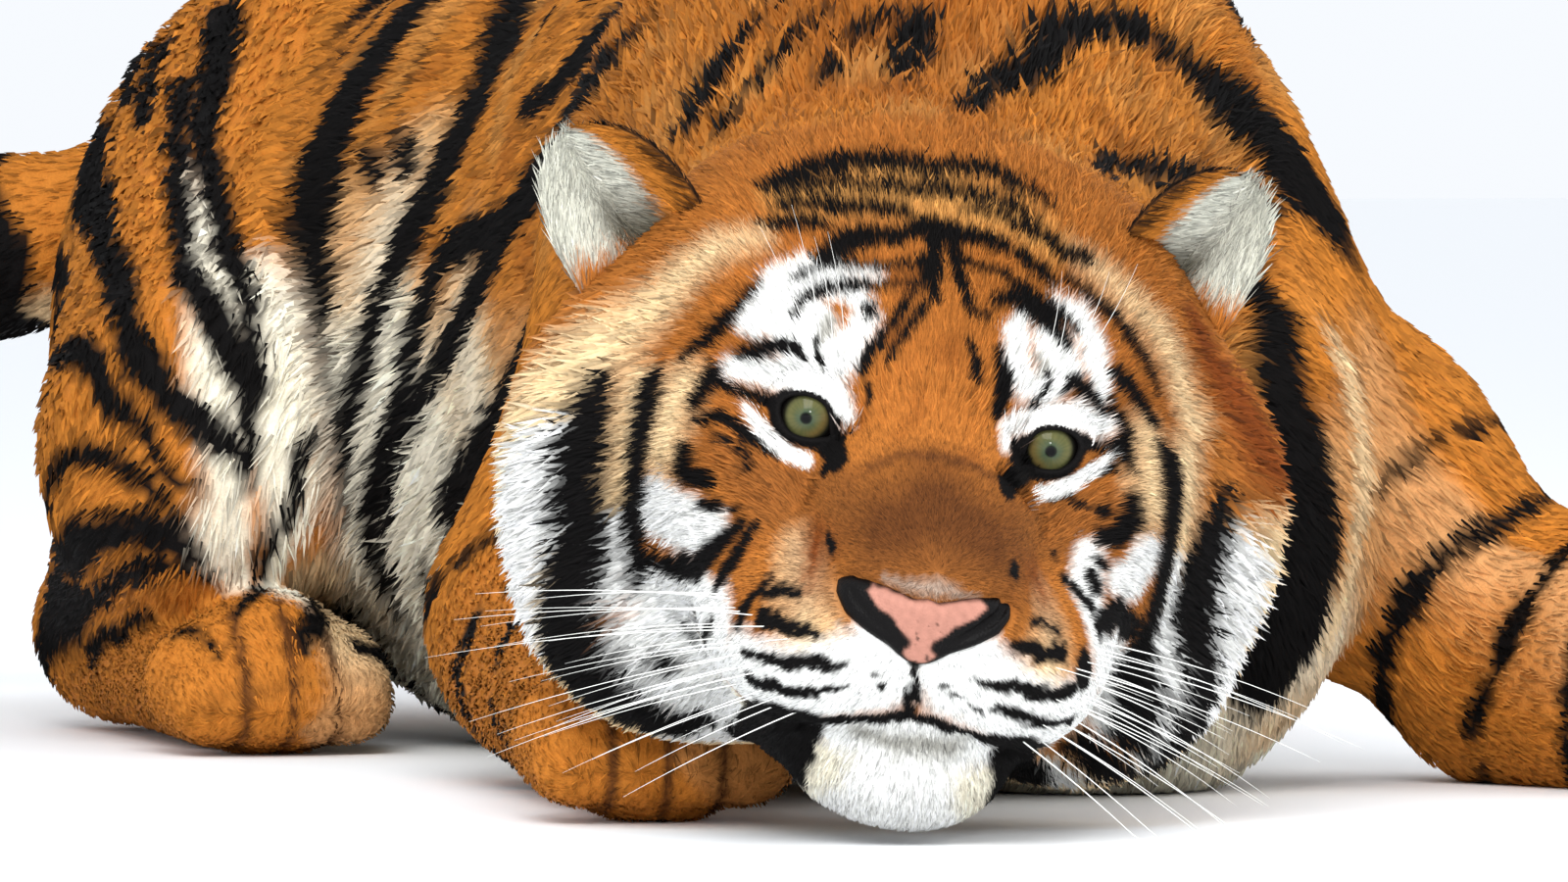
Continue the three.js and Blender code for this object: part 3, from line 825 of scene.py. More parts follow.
SPREAD = 0.6  # how much wider the broad black strokes of the face are drawn
FINE = 1.2  # the softness of its fine ones
FACE_LAYERS = [  # ink, softness and strokes of (across, up, half width)
    (CREAM, 16, [
        [(-160, 40, 10), (-165, -20, 24), (-150, -90, 30), (-100, -150, 40), (0, -150, 60), (100, -150, 40),
         (150, -90, 30), (165, -30, 22)],
        [(-138, 30, 7), (-136, 0, 8), (-130, -45, 8)], [(125, 30, 10), (123, 0, 9), (120, -45, 8)],
        [(-112, 35, 9), (-112, 5, 11)], [(98, 40, 8), (97, 10, 9)],
        [(69, 134, 2), (86, 120, 5), (100, 104, 6), (114, 90, 7), (126, 73, 8), (134, 42, 8)],
        [(-96, 114, 3), (-116, 102, 7), (-133, 84, 9), (-148, 56, 10), (-156, 28, 9)],
    ]),
    (CREAM, 13, [[(-46, -8, 3), (-34, -15, 5), (-25, -25, 6)], [(35, -14, 3), (31, -24, 5)]]),
    (CREAM_WHITE, 12, [[(-70, -70, 16), (-40, -80, 26), (0, -84, 40), (40, -80, 26), (70, -70, 16)]]),
    (RUST, 11, [[(-42, 8, 5), (-38, -4, 7), (-34, -12, 4)], [(31, 8, 4), (34, -2, 6), (36, -10, 4)]]),
    (RUST, 12, [[(148, 96, 8), (154, 70, 10), (164, 42, 12), (172, 10, 10)]]),
    (GOLD, 14, [[(-92, 138, 10), (-40, 156, 14), (0, 156, 15), (40, 150, 12), (62, 134, 8)]]),
    (TAN, 10, [[(-35, 10, 10), (-60, 2, 12), (-85, 12, 8)], [(32, 8, 10), (60, 2, 12), (78, 12, 7)]]),
    (BRIDGE, 20, [[(-14, 6, 15), (0, 8, 21), (14, 6, 15)]]),
    (TAN, 12, [[(-10, -4, 4), (0, -4, 7), (10, -4, 4)]]),
    (DARK, 5, [[(-25, 21, 0.6), (-15, 27, 0.8), (0, 29, 1), (15, 27, 0.8), (22, 23, 0.6)]]),
    (GREY, 5, [[(-13, -3.5, -0.5), (0, -3, 0.5), (11, -5, -0.5)]]),
    (WHITE, 5, [
        [(-90, 70, 8), (-82, 88, 11), (-66, 100, 10), (-50, 100, 7), (-40, 92, 6)],
        [(-68, 75, 16), (-60, 62, 14)],
        [(-86, 94, 6), (-72, 106, 6), (-54, 109, 4), (-36, 110, 2)],
        [(-92, 48, 6), (-75, 50, 7), (-58, 54, 8), (-48, 48, 7), (-42, 38, 4)],
        [(-48, 60, 7), (-44, 75, 7), (-38, 86, 6)],
        [(34, 36, 3), (37, 45, 5), (50, 50, 6), (65, 50, 7), (78, 46, 6)],
        [(42, 62, 6), (36, 74, 6), (36, 88, 7), (40, 96, 4)],
        [(60, 108, 3), (70, 100, 6), (74, 88, 7), (76, 72, 7), (78, 58, 4)],
        [(55, 85, 10), (58, 72, 10), (50, 62, 8)],
        [(-108, -20, 14), (-92, -20, 12), (-80, -16, 8)],
        [(-110, -58, 12), (-90, -52, 12), (-75, -42, 12), (-60, -35, 9)],
        [(-95, -75, 14), (-75, -70, 14), (-60, -60, 8)], [(-92, -90, 8), (-72, -92, 10), (-58, -86, 8)],
        [(95, -10, 9), (88, -17, 10), (78, -15, 6)],
        [(60, -32, 8), (75, -40, 8), (90, -60, 9), (92, -80, 10)],
        [(-10, -25, 12), (-25, -33, 10), (-45, -36, 9)], [(10, -25, 12), (25, -33, 10), (45, -36, 9)],
        [(-131, -40, 6), (-120, -65, 6)],
        [(122, -20, 5), (123, -40, 6), (120, -60, 7), (116, -78, 8), (108, -98, 8)],
        [(66, -6, 6), (60, -18, 8), (56, -30, 7)],
        [(-161, -10, 6), (-162, -35, 13), (-155, -75, 14), (-140, -95, 10)],
        [(150, -25, 13), (150, -55, 14), (136, -90, 12)],
        [(-30, -48, 6), (0, -46, 8), (30, -48, 6)], [(-40, -42, 9), (-52, -44, 9), (-62, -48, 8)],
        [(40, -42, 9), (52, -44, 9), (62, -48, 8)], [(0, -60, 14), (0, -76, 20), (0, -100, 26)],
        [(-40, -100, 16), (-70, -112, 18)], [(40, -100, 10), (76, -118, 10)],
    ]),
    (GREY, 4, [[(-56, 83, 3), (-55, 76, 4), (-58, 70, 2)], [(47, 78, 3), (49, 70, 3)],
    [(-12, -47, 3), (12, -47, 3)]]),
    (BLACK, 1.6, [  # arcs over the forehead
        [(-103, 142, 4), (-90, 152, 5.5), (-77, 162, 7), (-60, 169, 7), (-40, 173, 6), (-20, 173, 7),
         (-8, 171, 5.5),
         (7, 175, 5.5), (23, 177, 6), (37, 172, 5.5), (48, 167, 4.5), (62, 158, 2.5)],
        [(-98, 140, 2.5), (-85, 146, 2.5), (-70, 151, 3.5), (-55, 155, 3.5), (-40, 158, 3.5), (-20, 159, 4),
         (10, 160, 4),
         (28, 160, 3.5), (40, 156, 3.5), (50, 150, 2.5)],
        [(7, 150, 1.5), (17, 152, 2), (30, 151, 2), (40, 145, 3.5), (50, 143, 3.5), (60, 138, 2.5)],
        [(-95, 133, 2.5), (-77, 139, 4), (-60, 142, 4), (-43, 146, 4), (-25, 146, 3.5)],
        [(-98, 120, 2.5), (-88, 124, 4), (-78, 128, 4), (-66, 130, 2.5)],
        [(-67, 112, 4), (-58, 121, 7), (-50, 127, 7), (-40, 130, 5.5), (-27, 132, 4), (-17, 138, 6),
         (-3, 138, 7),
         (10, 137, 5.5), (23, 136, 4.5), (32, 133, 3.5)],
        [(40, 131, 3.5), (48, 124, 4), (58, 117, 3.5)],
        [(-77, 97, 1.5), (-70, 105, 2), (-55, 112, 2), (-40, 114, 2), (-27, 116, 2), (-15, 118, 2.5)],
        [(7, 123, 2.5), (20, 121, 2), (33, 118, 2.5), (43, 113, 2.5), (53, 107, 2.5), (62, 100, 2.5),
         (68, 92, 2)],
        [(-72, 80, 2), (-70, 88, 2.5), (-63, 96, 3.5), (-53, 101, 4), (-40, 104, 2.5), (-25, 106, 1.5),
         (-10, 110, 2.5)],
        [(26, 104, 3.5), (36, 106, 5.5), (46, 102, 7), (54, 96, 6), (60, 87, 4), (62, 82, 2)],
    ]),
    (BLACK, 1.4, [  # streaks down the middle of the forehead
        [(-8, 134, 4), (-7, 112, 4), (-6, 100, 3)], [(2, 128, 4), (7, 112, 3), (12, 98, 2.5), (22, 94, 2)],
        [(-14, 122, 2.5), (-12, 108, 2)],
        [(-14, 106, 1), (-20, 98, 2.5), (-24, 88, 2.5), (-30, 78, 2.5), (-36, 68, 3), (-38, 61, 2)],
        [(-10, 98, 2), (-16, 86, 2.5), (-22, 76, 2), (-27, 68, 1)], [(-38, 91, 4), (-37, 87, 3)],
        [(12, 82, 2), (16, 72, 2.5), (18, 64, 1)], [(27, 78, 2), (31, 66, 4), (31, 58, 3), (30, 50, 2)],
        [(-34, 56, 1), (-33, 48, 1)],
    ]),
    (BLACK, 1.4, [  # in the white over the eyes
        [(-92, 54, 2), (-85, 57, 4), (-76, 63, 4), (-68, 64, 3), (-63, 60, 1)],
        [(-59, 70, 1.5), (-57, 64, 1.5), (-54, 58, 1.5)],
        [(58, 61, 1.5), (62, 67, 2.5), (68, 61, 4), (74, 57, 2.5), (79, 52, 1.5)],
        [(50, 70, 1), (50, 62, 1.2), (46, 55, 1)],
    ]),
    (BLACK, 1.4, [  # round the eyes
        [(-100, 44, 3), (-95, 39, 2), (-86, 38, 1.5), (-78, 38, 2), (-72, 37, 5), (-64, 35, 11),
         (-58, 34, 11),
         (-52, 32, 9), (-46, 27, 7), (-41, 21, 5), (-44, 15, 2)],
        [(74, 37, 2), (68, 38, 4), (60, 35, 9), (53, 34, 11), (46, 32, 9), (40, 27, 6), (33, 23, 5),
         (28, 21, 4)],
        [(-98, 22, 2.5), (-92, 26, 2.5), (-84, 25, 2.5), (-76, 21, 2), (-68, 17, 1.8), (-63, 16, 1)],
        [(82, 28, 2), (76, 26.5, 2), (69, 23, 2), (62, 17, 2), (54, 15, 1.5)],
        [(-103, 48, 1.5), (-101, 38, 4.5), (-102, 28, 3)],
        [(84, 58, 1.5), (86, 50, 2.5), (88, 42, 3), (86, 34, 4), (80, 36, 3), (74, 37, 2)],
        [(88, 30, 1.5), (90, 25, 1)],
    ]),
    (BLACK, 1.8, [  # temples
        [(-118, 46, 2), (-110, 57, 4.5), (-103, 68, 4.5), (-97, 80, 2.5), (-92, 90, 2)],
        [(85, 70, 3), (90, 66, 4.5), (97, 56, 4.5), (105, 46, 3)], [(57, 140, 3), (66, 131, 4), (78, 128, 4)],
        [(68, 118, 2.5), (78, 108, 3), (88, 98, 3.5), (97, 86, 3), (105, 74, 3), (110, 60, 2)],
    ]),
    (BLACK, 1.8, [  # cheeks
        [(-89, 18, 1), (-82, 16, 1.5), (-77, 14, 1.5)], [(-75, 9, 1.5), (-74, 9, 1.5)],
        [(-100, 8, 4), (-97, 0, 5), (-88, 0, 3.5)], [(-88, -10, 2), (-80, -8, 2.5)],
        [(-75, -8, 0.8), (-71, -6, 0.8)],
        [(75, 10, 2.5), (76, 10, 2.5)], [(88, 14, 3), (86, 4, 5), (78, 0, 4), (72, 1, 3)],
        [(69, -7, 2), (71, -9, 1.5)],
        [(63, 14, 1), (69, 13, 1)], [(64, -12, 2.5), (66, -15, 2)], [(52, -12, 1.5), (60, -18, 2)],
        [(50, -5, 1), (51, -5, 1)],
    ]),
    (BLACK, 2.5, [  # long stripes down the sides of the face and through the ruffs
        [(-129, 36, 4), (-128, 25, 8), (-127, 0, 7), (-123, -25, 6.5), (-119, -40, 7), (-114, -50, 7),
         (-111, -62, 3)],
        [(-112, -47, 5), (-95, -41, 5), (-82, -34, 5), (-75, -22, 4), (-68, -11, 2.5)],
        [(-153, 22, 5), (-151, 0, 8), (-147, -25, 9), (-142, -40, 9.5), (-136, -55, 9), (-129, -70, 10),
         (-116, -88, 13), (-99, -103, 12), (-78, -114, 9)],
        [(105, 36, 3), (111, 25, 8), (110, 0, 7.5), (110, -25, 7), (110, -44, 8), (106, -58, 10),
         (102, -72, 10), (98, -86, 8)],
        [(58, -23, 2), (70, -25, 4), (78, -27, 5), (86, -35, 5), (95, -43, 6)],
        [(150, 6, 5), (143, -12, 9), (137, -30, 10), (134, -50, 9), (131, -66, 8), (122, -84, 9),
         (110, -104, 9)],
    ]),
    (BLACK, 1.2, [  # rows of spots on the whisker pads
        [(-62, -8, 1.4), (-64, -18, 2.8), (-66, -28, 2.8)], [(-47, -17, 1.6), (-50, -24, 2), (-50, -28, 1.4)],
        [(-46, -18, 1.4), (-35, -15, 1)], [(-44, -22, 2), (-36, -21, 2), (-27, -20, 1.4)],
        [(-46, -33, 1), (-38, -29, 1.6), (-30, -27, 1.8), (-19, -25.5, 1)],
        [(-42, -38, 2), (-35, -35, 2), (-27, -34, 1.6), (-17, -31, 0.8)],
        [(-10, -30, 1), (-9, -30, 1)], [(-12, -27, 0.6), (-11, -27, 0.6)],
        [(28, -12, 1), (38, -17, 1)], [(23, -17, 1.8), (30, -18.5, 2), (38, -20, 1.8)],
        [(14, -25, 1), (22, -26, 1.8), (40, -28, 1.8)], [(45, -25, 4), (45, -26, 4)],
        [(20, -31, 1.4), (28, -34, 1.8), (42, -38, 1.4)], [(6, -28, 0.8), (7, -28, 0.8)],
        [(9, -30, 0.8), (10, -30, 0.8)],
        [(12, -32, 0.8), (16, -33, 0.8)], [(-32, -3, 2), (-31, -3, 2)], [(23, 0, 2), (24, 0, 2)],
    ]),
    (BLACK, 2, [  # sides of the lips and the jaw
        [(-24, -44, 4), (-32, -48, 7), (-38, -56, 7), (-44, -68, 5), (-50, -82, 3), (-53, -92, 2)],
        [(-62, -36, 1), (-67, -50, 2)],
        [(22, -42, 3), (28, -46, 6), (33, -54, 7), (36, -62, 6), (40, -72, 5), (48, -85, 5), (54, -98, 8),
         (62, -112, 9), (68, -125, 8)],
        # beside the chin on the tiger's right: black fur like the other side's, partly painted shade
        [(-25, -50, 3), (-29, -60, 6), (-33, -72, 9), (-40, -90, 13), (-48, -110, 12)],
        [(27, -50, 3), (31, -60, 5), (35, -74, 8), (42, -92, 11)],
        [(80, -95, 6), (90, -103, 8), (100, -112, 6)], [(-84, -67, 3), (-75, -73, 2.5)],
        [(-92, -82, 2), (-85, -85, 3)], [(-70, -106, 4), (-68, -107, 4)],
    ]),
    (BLACK, 1, [  # the split of the upper lip and the mouth
        [(-2, -20, 2), (-2, -26, 1.3), (-1, -38, 1.5)],
        [(-1, -38, 2), (-8, -40, 2), (-14, -41.5, 2), (-24, -45, 2.5), (-36, -53, 3)],
        [(-1, -38, 2), (6, -39, 2), (12, -41, 2), (22, -44, 2.5), (34, -52, 3)],
    ]),
]


def face_colour(p):
    """The colours of the head at points in the tiger's frame."""
    chart = face_chart(p)
    ragged = np.stack([ripple(p, 5), ripple(p[:, ::-1], 5)], 1) * 0.7
    ragged += np.stack([ripple(p, 16), ripple(p[:, ::-1], 16)], 1) * 0.8
    chart = chart + ragged
    colour = mix(np.tile(FACE_ORANGE, (len(p), 1)), RUST, 0.3 * ease(ripple(p, 26), 0.1, 0.9))
    for ink, soft, strokes in FACE_LAYERS:
        wider = SPREAD if ink is BLACK and soft > FINE else 0
        colour = mix(colour, ink, strokes_share(chart, strokes, soft, wider))
    return colour


def surroundings(p):
    """For each point: how much it belongs to each region, and which way the hair lies there."""
    share = {name: np.zeros(len(p)) for name in REGIONS}
    lie = np.zeros_like(p)
    head_points = to_head(p)
    from_nose = unit(head_points - (0, -110, -42))
    beside = ease(np.abs(head_points[:, 0]), 60, 130)
    outward = np.stack([np.sign(head_points[:, 0]) * 0.25, 0 * beside, -0.7 + 0 * beside], 1)
    from_nose += outward * beside[:, None]
    head_lie = unit(from_nose) @ HEAD.T
    for name, form, index in forms_near(p, SKIN, far=20):
        weight = np.exp(-np.clip(form.distance(p[index], SKIN), -12, 80) / 7)
        share[name][index] += weight
        way = head_lie[index] if name == "head" else form.lie
        lie[index] += weight[:, None] * way
    total = np.maximum(sum(share.values()), 1e-9)
    return {name: s / total for name, s in share.items()}, lie


LEG_LINES = {
    "right_fore": [(150, 430, 300), (146, 410, 232), (102, 512, 88), (8, 290, 50), (-26, 206, 42),
     (-48, 150, 30)],
    "left_fore": [(344, 360, 290), (350, 340, 214), (498, 290, 80), (566, 6, 50), (580, -66, 42),
     (588, -120, 30)],
    "right_hind": [(330, 1160, 340), (302, 1140, 278), (118, 915, 166), (104, 880, 80), (110, 850, 40),
     (98, 790, 30)],
    "left_hind": [(430, 1140, 340), (466, 1120, 278), (572, 860, 166), (572, 840, 80), (552, 800, 40),
     (550, 740, 30)],
    "tail": TAIL_LINE,
}


DEGREE = 2.6  # chart millimetres to a degree round the body
HIND_DEGREE = 1.6
TRUNK_STROKES = rounded([  # along the body, degrees down from its top, half width: the same on both sides
    [(280, 43, 8), (308, 51, 10), (349, 58, 10), (386, 63, 11), (413, 69, 11), (458, 77, 10), (502, 86, 9),
     (541, 95, 7), (591, 103, 5), (612, 107, 3)],
    [(480, 77, 5), (516, 80, 6), (544, 80, 8), (572, 82, 9), (594, 90, 8), (616, 100, 7), (627, 107, 8),
     (652, 114, 8), (683, 123, 7), (700, 134, 5)],
    [(402, 94, 6), (435, 103, 8), (474, 110, 9), (530, 116, 9), (572, 120, 8), (610, 124, 5)],
    [(372, 44, 10), (400, 48, 11), (427, 53, 7), (447, 57, 5), (480, 58, 3)],
    [(705, 120, 2), (680, 108, 5), (660, 98, 7), (644, 88, 8), (632, 80, 12), (614, 70, 20), (606, 60, 22),
     (618, 48, 18), (655, 38, 13), (690, 28, 9), (706, 12, 6)],
    [(655, 67, 3), (668, 64, 3), (690, 61, 2)], [(683, 70, 2.5), (700, 67, 4), (713, 65, 3)],
    [(697, 112, 2), (694, 103, 3), (705, 88, 6), (725, 80, 14), (752, 72, 24), (775, 62, 28), (782, 52, 28),
     (796, 40, 24), (812, 24, 14), (820, 6, 8)],
    [(694, 103, 1.5), (701, 94, 2.5), (720, 88, 3.5), (745, 84, 3.5), (795, 79, 4), (862, 73, 4),
     (898, 69.5, 5),
     (930, 66, 8), (960, 62, 12), (1000, 56, 14), (1035, 44, 12), (1050, 28, 8), (1056, 8, 6)],
    [(712, 94, 1.5), (743, 87, 3), (779, 82, 3), (851, 77, 3), (890, 74, 4), (934, 71, 4), (987, 67, 7),
     (1043, 63, 8), (1086, 52, 9), (1112, 34, 8), (1120, 10, 6)],
    [(732, 91, 1.5), (773, 86, 2), (851, 82, 2), (900, 79, 4), (950, 76, 6), (1000, 73, 7), (1050, 70, 8),
     (1110, 62, 8), (1150, 44, 8), (1168, 14, 6)],
    [(707, 99, 2), (732, 93, 3), (773, 88.6, 4), (812, 88.6, 5), (857, 88, 7), (904, 87, 9), (945, 84, 12),
     (1001, 82, 13), (1057, 82, 14), (1120, 80, 12), (1180, 62, 9), (1210, 30, 7), (1216, 8, 5)],
    [(709, 104, 1.5), (737, 97, 3), (773, 94, 4), (812, 93.6, 6), (860, 94, 6)],
    [(330, 34, 5), (345, 18, 5), (350, 4, 3)], [(446, 40, 5), (466, 24, 7), (476, 6, 4)],
    [(540, 44, 4), (560, 24, 7), (568, 4, 4)], [(860, 50, 4), (878, 30, 8), (886, 8, 5)],
    [(930, 46, 4), (944, 26, 8), (950, 6, 5)], [(990, 36, 4), (1002, 20, 7), (1004, 4, 4)],
    [(500, 130, 5), (520, 150, 7), (525, 168, 3)], [(580, 136, 5), (600, 156, 7), (604, 170, 3)],
    [(650, 132, 6), (668, 152, 6)], [(760, 122, 5), (774, 146, 7), (776, 166, 3)],
    [(850, 118, 5), (862, 142, 7), (866, 164, 3)], [(940, 120, 5), (950, 146, 6)],
], DEGREE)
NECK_STROKES = rounded([  # along, degrees to the tiger's right, half width
    [(44, 36, 6), (57, 35, 7)], [(66, 28, 4), (107, 17, 5), (125, 13, 5)],
    [(87, 42, 12), (125, 33, 12), (153, 23, 3)],
    [(44, 13, 6), (57, 12, 6)], [(78, 8, 4), (100, 3, 6)], [(21, -2, 5), (50, -2, 8), (100, -5, 8)],
    [(-20, -16, 5), (40, -20, 8), (60, -25, 10), (100, -27, 8), (130, -29, 8), (170, -35, 10), (200, -42, 8),
     (215, -55, 9), (240, -64, 15), (250, -72, 17), (262, -80, 11), (275, -86, 8)],
    [(-20, -45, 3), (32, -46.6, 5), (55, -52, 5), (82, -57, 5), (121, -61.6, 3), (162, -63, 1)],
    [(203, -72, 3), (225, -75, 3)],
    [(178, -70, 6), (192, -82, 8), (196, -90, 8), (180, -98, 9), (173, -106, 15),
     (169, -114, 19), (166, -121, 20), (163, -130, 18)],
    [(170, 90, 5), (162, 104, 7), (170, 116, 8), (158, 128, 6)], [(60, 88, 4), (72, 112, 7), (66, 134, 5)],
], DEGREE)
NECK_CREAM = rounded([
    [(222, -94, 5), (225, -102, 8), (220, -111, 9), (207, -118, 9), (198, -126, 8)],
], DEGREE)
HIND_STROKES = rounded([  # along a hind leg, degrees from its top to the inside, half width
    [(38, -25, 11), (81, -19, 11), (177, -19, 8), (234, -18, 7), (273, -11, 6), (331, -5, 6), (388, -2, 5),
     (446, -2, 4), (465, -7, 3)],
    [(119, -30, 6), (177, -29, 5), (234, -27, 5), (292, -21, 6), (350, -17, 6), (407, -11, 7), (446, -7, 6),
     (477, -7, 5), (488, -12, 3)],
    [(42, -46, 6), (119, -43, 6), (160, -42, 3)],
    [(60, -80, 10), (119, -67, 15), (177, -67, 15), (215, -60, 13), (254, -54, 11), (292, -49, 9),
     (331, -40, 9),
     (369, -36, 8), (407, -34, 7), (438, -31, 8), (465, -22, 9), (481, -11, 5)],
    [(330, -92, 5), (361, -67, 8), (381, -54, 8), (407, -47, 7), (431, -45, 6), (454, -40, 4),
     (477, -38, 3), (488, -31, 2)],
    [(420, -104, 4), (427, -85, 5), (434, -67, 6), (454, -54, 6), (477, -47, 5), (492, -43, 3)],
    [(380, -140, 10), (415, -129, 15), (438, -114, 14), (450, -100, 12), (465, -85, 10), (477, -69, 8),
     (492, -54, 8),
     (500, -45, 4)],
    [(330, -160, 8), (350, -151, 9), (404, -151, 11), (446, -136, 6), (469, -114, 5), (484, -92, 5),
     (496, -69, 4),
     (504, -54, 2)],
    [(419, -160, 4), (457, -149, 4), (484, -127, 4)],
    [(180, -100, 10), (230, -112, 12), (300, -128, 10)], [(120, -120, 10), (190, -140, 12), (260, -160, 10)],
    [(90, -104, 5), (150, -94, 8), (220, -86, 8), (290, -76, 4)], [(20, -66, 5), (60, -58, 7), (100, -53, 4)],
    [(60, -132, 5), (110, -142, 8), (160, -152, 5)], [(300, -108, 4), (345, -92, 6), (372, -80, 4)],
    [(513, 88, 3), (513, 44, 3)], [(478, 10, 3), (500, 9, 6), (508, 4, 5)],
    [(513, 0, 6), (523, -18, 7), (542, -40, 4)],
    [(523, 46, 6), (542, 37, 13), (565, 13, 10)], [(531, 105, 3), (554, 82, 7), (557, 66, 6)],
    [(527, -89, 2), (531, -78, 2), (542, -69, 2), (561, -65, 2)],
    [(300, 40, 5), (360, 60, 8), (400, 90, 6)], [(180, 44, 6), (250, 70, 8), (300, 104, 6)],
], HIND_DEGREE)
HIND_CREAM = rounded([
    [(240, -24, 4), (300, -14, 8), (380, -9, 12), (440, -12, 15), (480, -18, 14), (504, -20, 13),
     (502, -54, 6)],
    [(360, 0, 8), (400, 3, 12), (440, 3, 16), (480, 4, 20), (510, 10, 20), (524, 24, 14)],
], HIND_DEGREE)
LEG_BARS = {  # spacing, share of black, where they start and end, paleness inside
    "right_fore": (64, 0.35, 230, 430, 0.6),
    "left_fore": (52, 0.4, 180, 620, 0.3),
    "right_hind": (34, 0.5, 570, 640, 0.9),
    "left_hind": (34, 0.5, 570, 640, 0.9),
    "tail": (98, 0.9, 40, 900, 0.9),
}
TAIL_TIP = 830  # along the tail, where it is black to its end
PALE_BELOW = (  # along the trunk, and the degrees from its top where the pale belly starts
    (0, 200, 420, 560, 640, 720, 770, 1100),
    (104, 104, 84, 78, 54, 54, 84, 110),
)


PAWS = [  # middle, heading and width
    ((-26, 206), -22, FORE_PAW),
    ((580, -66), 10, FORE_PAW),
    ((110, 850), -13, HIND_PAW),
    ((552, 800), -2, HIND_PAW),
]


def toe_cleft_shade(p):
    """The painted shade in the clefts between the four toes of each paw."""
    painted_cleft_shade = np.zeros(len(p))
    for centre, heading, width in PAWS:
        forward = np.array([sin(radians(heading)), -cos(radians(heading))])
        q = p[:, :2] - centre
        ahead = q @ forward
        across = q @ np.array([-forward[1], forward[0]])
        toe = width / 4.2
        cleft = np.abs(across / toe - np.clip(np.round(across / toe), -1, 1)) * toe
        shown = ease(ahead, 6, 30) * (ahead < 80) * (np.abs(across) < width)
        painted_cleft_shade = np.maximum(painted_cleft_shade, (1 - ease(cleft, 1.2, 4)) * shown)
    return painted_cleft_shade * (p[:, 2] < 80)


def trunk_colour(p):
    """The ground of the trunk and the neck, and the share of black on it."""
    along, angle = line_chart(p, TORSO_LINE)
    side = np.abs(angle)
    wander = ripple(p, 90)
    colour = mix(np.tile(ORANGE, (len(p), 1)), RUST, 0.55 * ease(34 - side + 10 * wander, -10, 40))
    colour = mix(colour, RUST, 0.4 * ease(ripple(p, 46), 0.1, 1))
    colour = mix(colour, GOLD, 0.45 * ease(ripple(p[:, ::-1], 60), 0, 0.9))
    low = np.interp(along, *PALE_BELOW)
    colour = mix(colour, CREAM, 0.85 * ease(side + 12 * wander, low, low + 34))
    colour = mix(colour, CREAM_WHITE, 0.95 * ease(side + 12 * wander, low + 16, low + 44))
    right = angle < 0
    shift = np.where(right, 9 * ripple(p, 170) + 6, 0) + 2.5 * ripple(p, 34)
    down = (side + np.where(right, 3 * ripple(p, 130), 0)) * DEGREE + 2 * ripple(p, 22)
    chart = np.stack([along + shift, down], 1)
    ink = strokes_share(chart, TRUNK_STROKES, 5, 4) * ease(along, 255, 300)
    thin = np.sin(2 * pi * (along + 0.25 * side * DEGREE) / 46 + 2.5 * ripple(p, 160))
    thin = ease(thin, 0.7, 0.86) * ease(ripple(p, 75), -0.15, 0.2)
    thin = thin * ease(along, 560, 640) * (1 - ease(side, 66, 82))
    ink = np.maximum(ink, 0.9 * thin * (1 - strokes_share(chart, TRUNK_STROKES, 5, 18)))
    chart = np.stack([along + 2 * ripple(p, 30), angle * DEGREE + 2 * ripple(p, 22)], 1)
    ink = np.maximum(ink, strokes_share(chart, NECK_STROKES, 5, 3) * (1 - ease(along, 280, 330)))
    return mix(colour, CREAM, 0.9 * strokes_share(chart, NECK_CREAM, 8)), ink


def limb_colour(name, q):
    """The ground of a leg or the tail, how much of it is white, and the share of black on it."""
    s, a = line_chart(q, LEG_LINES[name])
    right = name[0] == "r"
    spacing, amount, start, end, pale = LEG_BARS[name]
    inside = np.abs(a) if name == "tail" else 90 + 90 * np.cos(np.radians(a - (90 if right else -90)))
    pale = pale * ease(inside + 14 * ripple(q, 70), 128, 170) * (1 - 0.8 * ease(s, end - 90, end - 20))
    ground = mix(np.tile(ORANGE, (len(q), 1)), CREAM, pale)
    white = np.zeros(len(q))
    wave = np.sin(2 * pi * s / spacing + 1.1 * ripple(q, 120)) + 0.35 * ripple(q, 34)
    bars = ease(wave, 1 - amount, 1.22 - amount) * ease(s, start, start + 50) * (1 - ease(s, end, end + 30))
    if name == "tail":
        bars = np.maximum(bars, ease(s, TAIL_TIP, TAIL_TIP + 6))
    if name.endswith("hind"):
        turn = a if right else -a
        chart = np.stack([s + 2 * ripple(q, 30), (turn + 1.5 * ripple(q, 40)) * HIND_DEGREE], 1)
        white = strokes_share(chart, HIND_CREAM, 14)
        bars = np.maximum(strokes_share(chart, HIND_STROKES, 4, 1.5), 0.75 * bars)
    return ground, white, bars


def body_colour(p, share):
    """The colours of the trunk, legs and tail."""
    colour, ink = trunk_colour(p)
    for name in LEG_LINES:
        here = share[name] > 0.02
        if not here.any():
            continue
        w = ease(share[name][here], 0.2, 0.8)
        ground, white, bars = limb_colour(name, p[here])
        blended = mix(colour[here], np.zeros(3), w) + ground * w[:, None]
        colour[here] = mix(blended, CREAM_WHITE, white * w)
        ink[here] = ink[here] * (1 - w) + bars * w
    # painted shade: the clefts between the toes are darkened towards DARK
    return mix(mix(colour, DARK, 0.85 * toe_cleft_shade(p)), BLACK, ink)


